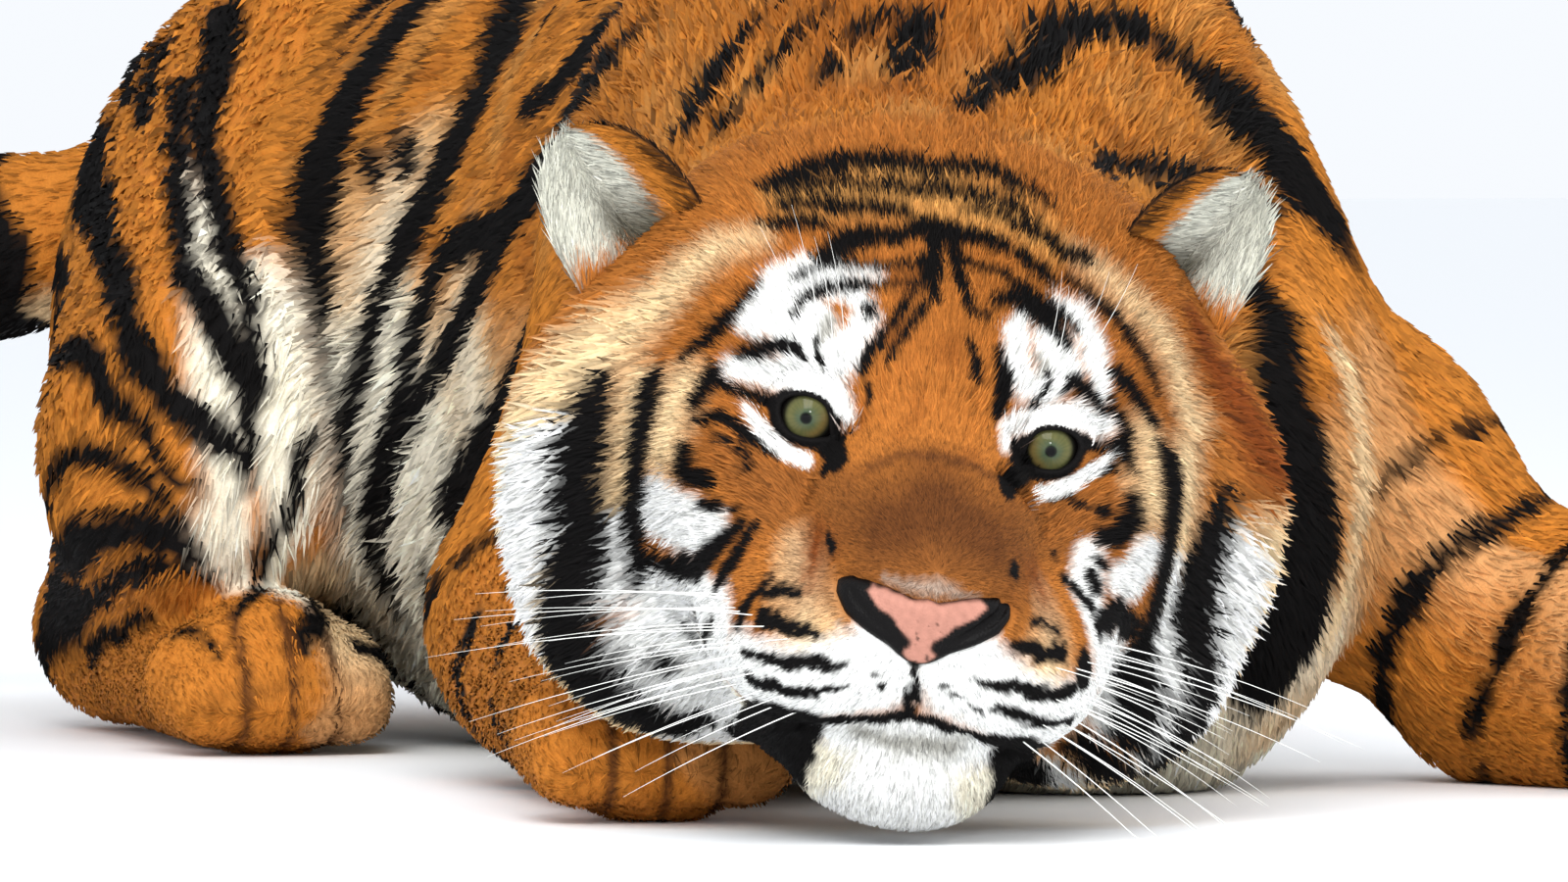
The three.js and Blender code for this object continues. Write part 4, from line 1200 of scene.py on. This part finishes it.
def ear_colour(hollow, aside, height, p):
    """Pale inside with painted shade low in the hollow, orange at the inner edge, black behind with a pale
    spot; aside is 1 at the outer rim.
    """
    aside = aside + 0.05 * ripple(p, 12)
    height = height + 0.03 * ripple(p, 14)
    # painted shade: the lower middle of the hollow is darkened towards EAR_SHADE
    deep = ease(0.7 - height, 0, 0.4) * ease(0.75 - np.abs(aside + 0.1), 0, 0.4)
    inside = mix(np.tile(EAR_GREY, (len(p), 1)), EAR_SHADE, deep)
    inside = mix(inside, ORANGE, ease(-aside, 0.38, 0.62))
    inside = mix(inside, BLACK, 0.9 * ease(-aside, 0.9, 0.99) + 0.6 * ease(height, 0.95, 1))
    inside = mix(inside, FACE_ORANGE, ease(0.26 + 0.1 * aside - height, 0, 0.12))
    spot = ease(0.16 - (0.6 * aside) ** 2 - (height - 0.5) ** 2, 0.05, 0.1)
    behind = mix(mix(np.tile(BLACK, (len(p), 1)), ORANGE, ease(0.25 - height, 0, 0.15)), WHITE, spot)
    return mix(behind, inside, hollow)


# The white under each eye: across from its middle and away from the nose, up, and half width.
UNDER_EYE = [(28, -1, 1.5), (20.5, -8, 3), (12.5, -13.5, 3.2), (4.5, -17, 3.2), (-3, -18.4, 3.2)]


def coat_colour(p):
    """The colours of skin and hair at points in the tiger's frame."""
    share, _ = surroundings(p)
    ahead = ease(135 - to_head(p)[:, 1], 0, 30)
    head = ease(share["head"] * (1 + 2 * ahead), 0.35, 0.65)
    colour = mix(body_colour(p, share), np.zeros(3), head) + face_colour(p) * head[:, None]
    off, place = off_eyes(p)
    colour = mix(colour, WHITE, strokes_share(place, [UNDER_EYE], 1.6))
    low = np.clip(-place[:, 1], -10, 10)
    return mix(colour, BLACK, 1 - ease(off, 3.2 + 0.07 * low, 4.8 + 0.1 * low))


# ---- Coat
TUFT = (  # how far along, how far across and how high each corner of a short tuft is, and its faces
    np.array([(0, -0.5, -0.12), (0, 0.5, -0.12), (0.42, 0, 0.85), (1, 0, 0.92)]),
    np.array([(0, 1, 2), (1, 3, 2), (3, 0, 2), (0, 3, 1)]),
)
LOCK = (  # a longer tuft that bends over its middle
    np.array([
        (0, -0.4, -0.1), (0, 0.4, -0.1), (0.45, -0.5, 0.45), (0.45, 0.5, 0.45), (0.4, 0, 0.85), (1, 0, 0.9),
    ]),
    np.array([(0, 1, 4), (0, 4, 2), (1, 3, 4), (2, 4, 5), (4, 3, 5), (0, 2, 3), (0, 3, 1), (2, 5, 3)]),
)
PATCH = 0.003  # the size of a tuft's patch on its coat's map


def sample(points, triangles, weight, count, seed):
    """Places over the triangles, denser where the weight is more: each one's triangle and corners' shares."""
    random = np.random.default_rng(seed)
    a, b, c = (points[triangles[:, i]] for i in range(3))
    area = np.linalg.norm(np.cross(b - a, c - a), axis=1) / 2 * weight
    edges = np.cumsum(area) / area.sum()
    chosen = np.searchsorted(edges, (np.arange(count) + random.random(count)) / count)
    chosen = np.minimum(chosen, len(triangles) - 1)
    u, v = random.random(count), random.random(count)
    over = u + v > 1
    u[over], v[over] = 1 - u[over], 1 - v[over]
    return chosen, np.stack([1 - u - v, u, v], 1)


def hair_length(depth):
    """From how deep the coat is, because hair lies at a slant."""
    return 1.9 * depth + 0.01 * depth ** 2 + 1.2


def hair_width(length):
    return 0.5 + 0.05 * length


def grow_tufts(name, roots, template, seed):
    """A coat piece: one tuft of the template at each root, over the skin and along its lie."""
    random = np.random.default_rng(seed)
    shape, faces = template
    count = len(roots["p"])
    normal, way = roots["normal"], roots["way"]
    twist = random.normal(0, 0.16, count)[:, None]
    way = unit(way + np.cross(normal, way) * twist)
    across = np.cross(way, normal)
    length = roots["length"] * random.uniform(0.75, 1.2, count)
    height = roots["depth"] * random.uniform(0.4, 0.85, count)
    width = roots["width"] * random.uniform(0.8, 1.25, count)
    bend = across * (random.normal(0, 0.07, count) * length)[:, None]
    points = np.empty((count, len(shape), 3))
    normals = np.empty_like(points)
    colours = np.empty_like(points)
    patch = np.empty((count, len(shape), 2))
    shade = random.normal(1, 0.15, count) * np.where(random.random(count) < 0.15, 0.6, 1)
    for i, (ahead, aside, up) in enumerate(shape):
        points[:, i] = (
            roots["p"]
            + way * (ahead * length)[:, None]
            + across * (aside * width)[:, None]
            + normal * (up * height)[:, None]
            + bend * ahead ** 2
        )
        normals[:, i] = normal + across * aside * 1.1 + way * 0.25 * (ahead - 0.3)
        colour = roots["colour"] * (1 - ahead) + roots["tip_colour"] * ahead
        # painted shade: each tuft is darker at its root and lighter towards its tip, times a random tone for
        # each tuft
        colours[:, i] = colour * (shade * (0.9 + 0.15 * ahead))[:, None]
        patch[:, i] = roots["map"] + PATCH * np.array([aside, 0.8 * ahead - 0.4])
    points[..., 2] = np.maximum(points[..., 2], 0.4)
    all_faces = (faces[None] + len(shape) * np.arange(count)[:, None, None]).reshape(-1, 3)
    piece = make_mesh(name, points.reshape(-1, 3), all_faces)
    tint(piece, np.clip(colours.reshape(-1, 3), 0, 1))
    layer = piece.data.uv_layers.new(name="OFBake")
    patch = np.clip(patch.reshape(-1, 2), 0, 1)[all_faces.ravel()]
    layer.uv.foreach_set("vector", patch.astype(np.float32).ravel())
    piece.data.normals_split_custom_set_from_vertices(unit(normals).reshape(-1, 3))
    piece.data.materials.append(materials["coat"])
    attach(piece, "root")
    return piece


# ---- Materials
class Value:
    """A shader socket that takes part in Python's arithmetic."""

    def __init__(self, nodes, socket):
        self.nodes, self.socket = nodes, socket

    def _math(self, operation, a, b):
        return self.nodes.add("ShaderNodeMath", {"operation": operation}, [a, b])["Value"]

    def __add__(self, other):
        return self._math("ADD", self, other)

    def __sub__(self, other):
        return self._math("SUBTRACT", self, other)

    def __rsub__(self, other):
        return self._math("SUBTRACT", other, self)

    def __mul__(self, other):
        return self._math("MULTIPLY", self, other)

    __radd__ = __add__
    __rmul__ = __mul__


class Nodes:
    """A material's nodes, each added by its type, its settings and the values or links of its sockets."""

    def __init__(self, name):
        self.material = bpy.data.materials.new(name)
        self.material.use_nodes = True
        self.tree = self.material.node_tree
        self.tree.nodes.clear()

    def add(self, kind, settings=None, sockets=None):
        node = self.tree.nodes.new(kind)
        for key, value in (settings or {}).items():
            setattr(node, key, value)
        pairs = sockets.items() if isinstance(sockets, dict) else enumerate(sockets or [])
        for key, value in pairs:
            if isinstance(value, Value):
                self.tree.links.new(value.socket, node.inputs[key])
            else:
                node.inputs[key].default_value = value
        return {output.name: Value(self, output) for output in node.outputs if output.enabled}

    def finish(self, **sockets):
        """The surface shader, with its sockets named in full, and the material's output."""
        named = {name.replace("_", " "): value for name, value in sockets.items()}
        shader = self.add("ShaderNodeBsdfPrincipled", {}, named)
        self.add("ShaderNodeOutputMaterial", {}, {"Surface": shader["BSDF"]})
        return self.material


def fur_material(name, grain, bump):
    """Hair that takes the colour of its root, a little darker and lighter from hair to hair."""
    nodes = Nodes(name)
    place = nodes.add("ShaderNodeTexCoord")["Object"]
    tint_colour = nodes.add("ShaderNodeAttribute", {"attribute_name": "tint"})["Color"]
    hair = nodes.add("ShaderNodeTexNoise", {}, {"Vector": place, "Scale": grain, "Detail": 3.0})["Fac"]
    shade = hair * 0.5 + 0.75
    grey = nodes.add("ShaderNodeCombineColor", {}, [shade, shade, shade])["Color"]
    settings = {"data_type": "RGBA", "blend_type": "MULTIPLY"}
    colour = nodes.add("ShaderNodeMix", settings, {"Factor": 1.0, 6: tint_colour, 7: grey})["Result"]
    sockets = {"Base_Color": colour, "Roughness": 0.8, "Specular_IOR_Level": 0.12}
    if bump:
        settings = {"Strength": bump, "Distance": 0.001, "Height": hair}
        sockets["Normal"] = nodes.add("ShaderNodeBump", {}, settings)["Normal"]
    return nodes.finish(**sockets)


def eye_material():
    """The eye's own colours under a clear wet skin over the iris."""
    nodes = Nodes("eye")
    tint_colour = nodes.add("ShaderNodeAttribute", {"attribute_name": "tint"})["Color"]
    wet = nodes.add("ShaderNodeAttribute", {"attribute_name": "wet"})["Fac"]
    return nodes.finish(
        Base_Color=tint_colour,
        Roughness=0.6,
        Specular_IOR_Level=0.0,
        Coat_Weight=wet * 0.25,
        Coat_Roughness=0.03,
    )


def nose_material():
    """Bare skin of fine close bumps, a little moist."""
    nodes = Nodes("nose_leather")
    place = nodes.add("ShaderNodeTexCoord")["Object"]
    tint_colour = nodes.add("ShaderNodeAttribute", {"attribute_name": "tint"})["Color"]
    cells = nodes.add("ShaderNodeTexVoronoi", {}, {"Vector": place, "Scale": 900.0})["Distance"]
    settings = {"Strength": 0.35, "Distance": 0.0006, "Height": cells}
    normal = nodes.add("ShaderNodeBump", {}, settings)["Normal"]
    return nodes.finish(Base_Color=tint_colour, Roughness=0.5, Specular_IOR_Level=0.1, Normal=normal)


def whisker_material():
    """Stiff white hair, a little uneven."""
    nodes = Nodes("whisker")
    place = nodes.add("ShaderNodeTexCoord")["Object"]
    band = nodes.add("ShaderNodeTexNoise", {}, {"Vector": place, "Scale": 60.0})["Fac"]
    shade = band * 0.25 + 0.72
    colour = nodes.add("ShaderNodeCombineColor", {}, [shade, shade, shade * 0.95])["Color"]
    return nodes.finish(Base_Color=colour, Roughness=0.35)


def floor_material():
    """Plain pale floor."""
    nodes = Nodes("floor")
    return nodes.finish(Base_Color=(0.96, 0.975, 0.99, 1), Roughness=0.9)


materials = {
    "skin": fur_material("skin_fur", 700.0, 0.6),
    "coat": fur_material("coat_fur", 260.0, 0.0),
    "eye": eye_material(),
    "nose": nose_material(),
    "whisker": whisker_material(),
    "floor": floor_material(),
}


# ---- Eyes
IRIS = 10.2  # radius
PUPIL = 2.5
BULGE = 1.2  # of the cornea over the ball


def iris_colour(out, turn):
    """The colours across an eye: pupil, iris with its spokes and dark edge, and the dark white of the eye."""
    spokes = 0.5 + 0.25 * np.sin(turn * 37 + 3 * np.sin(turn * 5)) + 0.25 * np.sin(turn * 61 + out)
    inner = 1 - ease(out, PUPIL, 0.7 * IRIS)
    colour = mix(np.tile(srgb(78, 80, 48), (len(out), 1)), srgb(60, 76, 60), inner)
    colour = mix(colour, srgb(106, 100, 60), 0.5 * spokes * (1 - 0.5 * inner))
    amber = ease(np.cos(turn - 3.6), 0.3, 0.9) * ease(out, 0.5 * IRIS, 0.8 * IRIS)
    colour = mix(colour, srgb(112, 78, 36), 0.4 * amber)
    colour = mix(colour, srgb(34, 34, 24), ease(out, 0.84 * IRIS, 0.97 * IRIS))
    colour = mix(colour, BLACK, ease(out, IRIS - 0.3, IRIS + 0.7))
    return mix(colour, srgb(4, 4, 5), 1 - ease(out, PUPIL - 0.3, PUPIL + 0.3))


def eyeball(side):
    rows, columns = 40, 64
    lean = np.linspace(0, pi, rows)
    lean = lean ** 1.4 / pi ** 0.4  # rings closer together in front
    turn = np.linspace(0, 2 * pi, columns, endpoint=False)
    out = EYE_RADIUS * np.sin(lean)
    front = EYE_RADIUS * np.cos(lean) + BULGE * (1 - ease(out, 0, IRIS + 2)) * (lean < pi / 2)
    grid = np.stack([out[:, None] * np.cos(turn), out[:, None] * np.sin(turn), front[:, None] + 0 * turn], -1)
    points = from_head(mirror(EYE, side)) + grid.reshape(-1, 3)[columns - 1 : 1 - columns] @ eye_axes(side).T
    faces = grid_faces(rows - 2, columns) + 1
    first = [(0, 1 + (i + 1) % columns, 1 + i) for i in range(columns)]
    last = len(points) - 1
    start = last - columns
    final = [(last, start + i, start + (i + 1) % columns) for i in range(columns)]
    triangles = np.concatenate([halves(faces), first, final])
    if side < 0:
        triangles = triangles[:, ::-1]
    piece = make_mesh("eyeball_left" if side > 0 else "eyeball_right", points, triangles)
    spread = np.concatenate([[0], np.repeat(out[1:-1], columns), [0]])
    forward = np.concatenate([[1], np.repeat(lean[1:-1] < pi / 2, columns), [0]]) > 0
    round_eye = np.concatenate([[0], np.tile(turn, rows - 2), [0]])
    spread = np.where(forward, spread, EYE_RADIUS)
    tint(piece, iris_colour(spread, round_eye))
    wet = piece.data.attributes.new("wet", "FLOAT", "POINT")
    wet.data.foreach_set("value", (1 - ease(spread, IRIS - 1, IRIS + 0.5)).astype(np.float32))
    piece.data.materials.append(materials["eye"])
    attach(piece, "root")
    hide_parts("left_eye" if side > 0 else "right_eye")
    return piece


# ---- Nose
NOSE_CELL = 1.3
NOSE_TIP = from_head((0, -115, -55))
NOSE_SPAN = 52  # from the tip, of the grid that the pad is drawn on
NOSTRIL = [(8, -134, -62), (16, -132, -58), (25, -129, -52), (33, -123, -46), (36, -117, -41)]
NOSTRILS = [[(NOSE_MIDDLE + side * x, y, z) for x, y, z in NOSTRIL] for side in (1, -1)]
NOSE_GROOVE = [(NOSE_MIDDLE, -134, -50), (NOSE_MIDDLE, -131, -74)]


def nose_field(p):
    """The tip of the muzzle inside the pad's outline, with its edge rounded and the nostrils sunk."""
    h = to_head(p)
    pad = outline_distance(h[:, ::2], NOSE_PAD)
    d = -smooth_min(-flesh(p, TIPS) + 0.2, -pad, 4)
    for line in NOSTRILS:
        off, along = dist_to_line(h, line)
        d = np.maximum(d, 3.6 - along - off)
    groove, _ = dist_to_line(h, NOSE_GROOVE)
    return np.maximum(d + 1.0 * np.exp(-((groove / 1.6) ** 2)), h[:, 1] + 104)


def nose_colour(p):
    """Pink in the middle with a few dark flecks, and black in the nostrils and round the edge."""
    h = to_head(p)
    wavy = h + np.stack([0.5 * ripple(p, 9), 0 * p[:, 0], 0.4 * ripple(p, 7)], 1)
    pink = ease(-outline_distance(wavy[:, ::2], NOSE_PINK), -0.6, 1.2)
    pink *= 1 - 0.75 * ease(ripple(p, 3.1), 0.55, 0.9) * (wavy[:, 2] < -50)
    off = np.minimum(*(dist_to_line(h, line)[0] for line in NOSTRILS))
    pink *= ease(off, 4.5, 6)
    mottle = 1 + 0.1 * ripple(p, 4)[:, None]
    return BLACK * (1 - pink[:, None]) + PINK * pink[:, None] * mottle


def nose():
    low = NOSE_TIP - NOSE_SPAN
    n = np.ceil(((NOSE_TIP + NOSE_SPAN) - low) / NOSE_CELL).astype(int) + 1
    axes = [low[i] + NOSE_CELL * np.arange(n[i]) for i in range(3)]
    grid = np.stack(np.meshgrid(*axes, indexing="ij"), -1).reshape(-1, 3)
    values = np.full(len(grid), 50.0)
    h = to_head(grid)
    near = np.nonzero((np.abs(h[:, 0]) < 46) & (h[:, 1] < -98) & (h[:, 2] > -80) & (h[:, 2] < -28))[0]
    values[near] = nose_field(grid[near])
    points, quads = surface_of(values.reshape(n), low, NOSE_CELL)
    piece = make_mesh("nose_pad", points, halves(quads))
    tint(piece, nose_colour(points))
    piece.data.materials.append(materials["nose"])
    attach(piece, "root")
    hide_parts("nose")


# ---- Whiskers
WHISKER_SIDES = 6
WHISKER_STEPS = 14


def whisker(root, way, length, radius, droop):
    """A long tapered hair that bends by the droop at its tip, as a thin closed tube."""
    t = np.linspace(0, 1, WHISKER_STEPS)[:, None]
    centre = from_head(root) + (t * length) * (way @ HEAD.T) + t ** 2 * droop
    forward = unit(np.gradient(centre, axis=0))
    across = unit(np.cross(forward, (0.1, 0.2, 1)))
    up = np.cross(across, forward)
    turn = np.linspace(0, 2 * pi, WHISKER_SIDES, endpoint=False)
    r = radius * (1 - 0.85 * t[:, :, None])
    ring = across[:, None] * np.cos(turn)[None, :, None] + up[:, None] * np.sin(turn)[None, :, None]
    points = np.concatenate([(centre[:, None] + r * ring).reshape(-1, 3), centre[:1], centre[-1:]])
    points[:, 2] = np.maximum(points[:, 2], 1)
    first, last = len(points) - 2, (WHISKER_STEPS - 1) * WHISKER_SIDES
    i = np.arange(WHISKER_SIDES)
    j = (i + 1) % WHISKER_SIDES
    start = np.stack([np.full(WHISKER_SIDES, first), i, j], 1)
    end = np.stack([np.full(WHISKER_SIDES, first + 1), last + j, last + i], 1)
    return points, np.concatenate([halves(grid_faces(WHISKER_STEPS, WHISKER_SIDES))[:, ::-1], start, end])


def whiskers():
    """Four rows on each pad, and a few hairs over each eye."""
    random = np.random.default_rng(11)
    parts = []
    for side in (1, -1):
        for row in range(4):
            for i in range(7 - row % 2):
                root = np.array([side * (34 + 7.5 * i), -112 + 6.5 * i + abs(row - 1.5) * 2, -68 - 9.5 * row])
                down = 0.05 + 0.13 * row + 0.02 * i
                way = unit(np.array([side * (0.9 + 0.1 * i), -0.25 + 0.11 * i, -down]))
                way = unit(way + random.normal(0, 0.05, 3))
                length = random.uniform(85, 165) * (1.05 - 0.07 * abs(i - 3))
                droop = np.array([0, 10, -14]) * length / 130
                parts.append(whisker(root, way, length, random.uniform(0.3, 0.45), droop))
        for i in range(4):
            root = np.array([side * (44 + 5 * i), -16 + 3 * i, 34])
            way = unit(np.array([side * (0.1 + 0.12 * i), -0.35, 1.0]) + random.normal(0, 0.05, 3))
            parts.append(whisker(root, way, random.uniform(45, 75), 0.25, np.array([0, 14, 4])))
    piece = make_mesh("whiskers", *gather(parts))
    piece.data.materials.append(materials["whisker"])
    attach(piece, "root")


# ---- The skin, with its lids and ears, and the coat over it
lids = [eyelids(side) for side in (1, -1)]
ears = [ear_skin(side) for side in (1, -1)]
skin_points, skin_triangles = gather([body_skin(), *lids, *((p, f) for p, f, _ in ears)])
skin_normals = point_normals(skin_points, skin_triangles)
ear_start = len(skin_points) - sum(len(p) for p, _, _ in ears)  # the ears' points come last
ear_places = np.concatenate([place for _, _, place in ears])


def tiger_skin():
    skin = make_mesh("tiger_skin", skin_points, skin_triangles)
    colours = coat_colour(skin_points)
    colours[ear_start:] = ear_colour(*ear_places.T, skin_points[ear_start:])
    tint(skin, colours)
    skin.data.materials.append(materials["skin"])
    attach(skin, "root")
    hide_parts(*(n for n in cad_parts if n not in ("left_eye", "right_eye", "nose")))


HEAD_COATS = ("coat_muzzle", "coat_left_cheek", "coat_right_cheek", "coat_ruffs")
DEEPEST = 16  # of the coat over the skin
SHOWN = {"TUFT": (0.3, 0.62), "LOCK": (0.35, 0.75)}  # the part of a tuft that others leave bare


def coat_regions(middle, length):
    """Each coat piece's name, with its triangles of the skin, its kind of tuft and its number of tufts."""
    share, _ = surroundings(middle)
    names = list(REGIONS)
    region = np.argmax([share[name] for name in names], axis=0)
    along, _ = line_chart(middle, TORSO_LINE)
    left = face_chart(middle)[:, 0] > 0

    def part_of(*wanted):
        return np.isin(region, [names.index(name) for name in wanted])

    head, trunk = part_of("head"), part_of("torso")
    cheek = head & (length >= 9) & (length < 22)
    return {
        "coat_muzzle": (head & (length < 9), "TUFT", 44000),
        "coat_left_cheek": (cheek & left, "TUFT", 40000),
        "coat_right_cheek": (cheek & ~left, "TUFT", 40000),
        "coat_ruffs": (head & (length >= 22), "LOCK", 21000),
        "coat_neck": (trunk & (along < 330), "TUFT", 42000),
        "coat_shoulders": (trunk & (along >= 330) & (along < 620), "TUFT", 34000),
        "coat_flanks": (trunk & (along >= 620) & (along < 900), "TUFT", 32000),
        "coat_rump": (trunk & (along >= 900), "TUFT", 22000),
        "coat_fore_legs": (part_of("right_fore", "left_fore"), "TUFT", 28000),
        "coat_hind_legs": (part_of("right_hind", "left_hind"), "TUFT", 33000),
        "coat_tail": (part_of("tail"), "TUFT", 9000),
    }


def coat_map(name, p):
    """Where roots lie on a flat map of the skin: round the face, or along and round the trunk or a limb."""
    if name in HEAD_COATS:
        return face_chart(p) / (2 * pi * FACE_SCALE) + 0.5
    if not name.endswith(("legs", "tail")):
        along, angle = line_chart(p, TORSO_LINE)
        return np.stack([(along + 100) / 1600, angle / 360 + 0.5], 1)
    if name == "coat_tail":
        along, angle = line_chart(p, LEG_LINES["tail"])
        return np.stack([along / 1000, angle / 360 + 0.5], 1)
    limb = "fore" if name == "coat_fore_legs" else "hind"
    share, _ = surroundings(p)
    places = []
    for side, start in (("right_", 0), ("left_", 0.5)):
        along, angle = line_chart(p, LEG_LINES[side + limb])
        places.append(np.stack([start + np.clip(along / 1500, 0, 0.49), angle / 360 + 0.5], 1))
    return np.where((share["left_" + limb] > share["right_" + limb])[:, None], places[1], places[0])


def rooted(chosen, weight, count, seed):
    """Roots on the skin: their triangles, the shares of the corners, the places and the normals there."""
    at, corners = sample(skin_points, chosen, weight, count, seed)
    three = chosen[at]
    root = (skin_points[three] * corners[..., None]).sum(1)
    normal = unit((skin_normals[three] * corners[..., None]).sum(1))
    return three, corners, root, normal


def along_skin(way, normal):
    return unit(way - normal * (way * normal).sum(1, keepdims=True))


def lying_length(root, way, depth):
    """The tufts' lengths: shorter over the forehead, and where they would lie over an eye."""
    h = to_head(root)
    length = hair_length(depth) * (1 - 0.4 * ease(h[:, 2], 45, 80) * ease(60 - h[:, 1], 0, 30))
    over_eye = off_eyes(root + way * length[:, None])[0] < 1.5
    return np.where(over_eye, 0.4 * length, length)


def body_coat():
    """The coat pieces of the whole body but for the ears."""
    flesh_triangles = skin_triangles[(skin_triangles < ear_start).all(1)]
    middle = skin_points[flesh_triangles].mean(1)
    depth_at = -flesh(skin_points[:ear_start], TIPS)
    length = hair_length(np.clip(depth_at[flesh_triangles].mean(1), 1.0, DEEPEST))
    h = to_head(middle)
    on_pad = (outline_distance(h[:, ::2], NOSE_PAD) < 0.5) & (h[:, 1] < -90)
    bare = (off_eyes(middle)[0] < 2) | on_pad
    weight = np.where(bare, 0, 1 / (length * hair_width(length)))
    for seed, (name, (chosen, kind, count)) in enumerate(coat_regions(middle, length).items()):
        three, corners, root, normal = rooted(flesh_triangles[chosen], weight[chosen], count, 100 + seed)
        depth = np.clip((depth_at[three] * corners).sum(1), 1.0, DEEPEST)
        way = along_skin(surroundings(root)[1], normal)
        long = lying_length(root, way, depth)
        outside = root + normal * (0.7 * depth)[:, None]
        near, far = SHOWN[kind]
        roots = {
            "p": root,
            "normal": normal,
            "way": way,
            "depth": depth,
            "length": long,
            "width": hair_width(long) * (1.5 if kind == "LOCK" else 1.15),
            "colour": coat_colour(outside + way * (near * long)[:, None]),
            "tip_colour": coat_colour(outside + way * (far * long)[:, None]),
            "map": coat_map(name, root),
        }
        grow_tufts(name, roots, LOCK if kind == "LOCK" else TUFT, 200 + seed)


def ear_coat():
    """Short hair over both ears: long and pale across the hollow, close and dark behind."""
    ear_triangles = skin_triangles[(skin_triangles >= ear_start).all(1)]
    three, corners, root, normal = rooted(ear_triangles, np.ones(len(ear_triangles)), 13000, 300)
    hollow, aside, height = (ear_places[three - ear_start] * corners[..., None]).sum(1).T
    side = np.where(to_head(root)[:, 0] > 0, 1, -1)
    up = np.array([0.25, 0.05, 1.0]) * np.stack([side, side * 0 + 1, side * 0 + 1], 1)
    out = np.stack([side, 0.1 + 0 * side, -0.3 + 0 * side], 1)
    share = (hollow * ease(0.5 - aside, 0, 0.8))[:, None]
    way = along_skin(unit(up * (1 - 0.6 * share) + out * share) @ HEAD.T, normal)
    long = 6 + hollow * (5 + 9 * ease(0.8 - height, 0, 0.6))
    roots = {
        "p": root,
        "normal": normal,
        "way": way,
        "depth": 1.4 + 1.6 * hollow,
        "length": long,
        "width": 0.45 + 0.03 * long,
        "colour": ear_colour(hollow, aside, height, root),
        "tip_colour": ear_colour(hollow, aside, height, root + way * 5) * (1 + 0.2 * hollow[:, None]),
        "map": np.stack([0.25 * (1 + aside) + 0.5 * (hollow > 0.5), 0.48 * height + 0.25 * (1 + side)], 1),
    }
    grow_tufts("coat_ears", roots, TUFT, 301)


tiger_skin()
for eye_side in (1, -1):
    eyeball(eye_side)
nose()
whiskers()
body_coat()
ear_coat()


# ---- Floor, light and camera
HEADING = 30  # of the camera's view, from the back of the trunk to the tiger's left
TILT = 1.5  # down
DISTANCE = 6000
VIEW_WIDTH = 704  # at the eyes
VIEW_MIDDLE = (-64.24, 178.8)  # across from the middle between the eyes, and over the floor
FLOOR_SPAN = 30000


def camera():
    """Low in front of the face, far away, level with the eyes."""
    right = np.array([cos(radians(HEADING)), -sin(radians(HEADING)), 0])
    view = np.array([sin(radians(HEADING)), cos(radians(HEADING)), 0])
    across, height = VIEW_MIDDLE
    focus = np.array([0, 0, height]) + across * right
    place = (focus - DISTANCE * view + np.array([0, 0, DISTANCE * tan(radians(TILT))]) + SHIFT) / 1000
    data = bpy.data.cameras.new("camera")
    data.lens = 36 * DISTANCE / VIEW_WIDTH
    data.clip_end = 60
    seen_from = bpy.data.objects.new("camera", data)
    bpy.context.scene.collection.objects.link(seen_from)
    seen_from.location = place
    seen_from.rotation_euler = (radians(90 - TILT), 0, radians(-HEADING))
    bpy.context.scene.camera = seen_from


def area_light(name, place, size, power):
    """A square lamp that faces the middle of the tiger."""
    data = bpy.data.lights.new(name, "AREA")
    data.size, data.energy = size, power
    lamp = bpy.data.objects.new(name, data)
    bpy.context.scene.collection.objects.link(lamp)
    lamp.location = place
    way = np.subtract((0, 0, 0.2), place)
    lamp.rotation_euler = (atan(np.hypot(way[0], way[1]) / -way[2]), 0, np.arctan2(way[1], way[0]) - pi / 2)


def floor():
    corners = [(x * FLOOR_SPAN, y * FLOOR_SPAN, -0.2) for x, y in ((-1, -1), (1, -1), (1, 1), (-1, 1))]
    piece = make_mesh("floor", corners, np.array([(0, 1, 2, 3)]))
    piece.data.materials.append(materials["floor"])


def studio():
    world = bpy.data.worlds.new("studio")
    bpy.context.scene.world = world
    world.use_nodes = True
    background = world.node_tree.nodes["Background"]
    background.inputs["Color"].default_value = (0.93, 0.96, 1.0, 1)
    background.inputs["Strength"].default_value = 1.0
    area_light("key", (-2.2, -3.2, 3.0), 2.5, 170)
    area_light("fill", (2.6, -2.0, 1.8), 2.5, 30)
    area_light("catch", (-2.3, -5.2, 1.3), 0.5, 50)
    bpy.context.scene.view_settings.view_transform = "Standard"


floor()
studio()
camera()
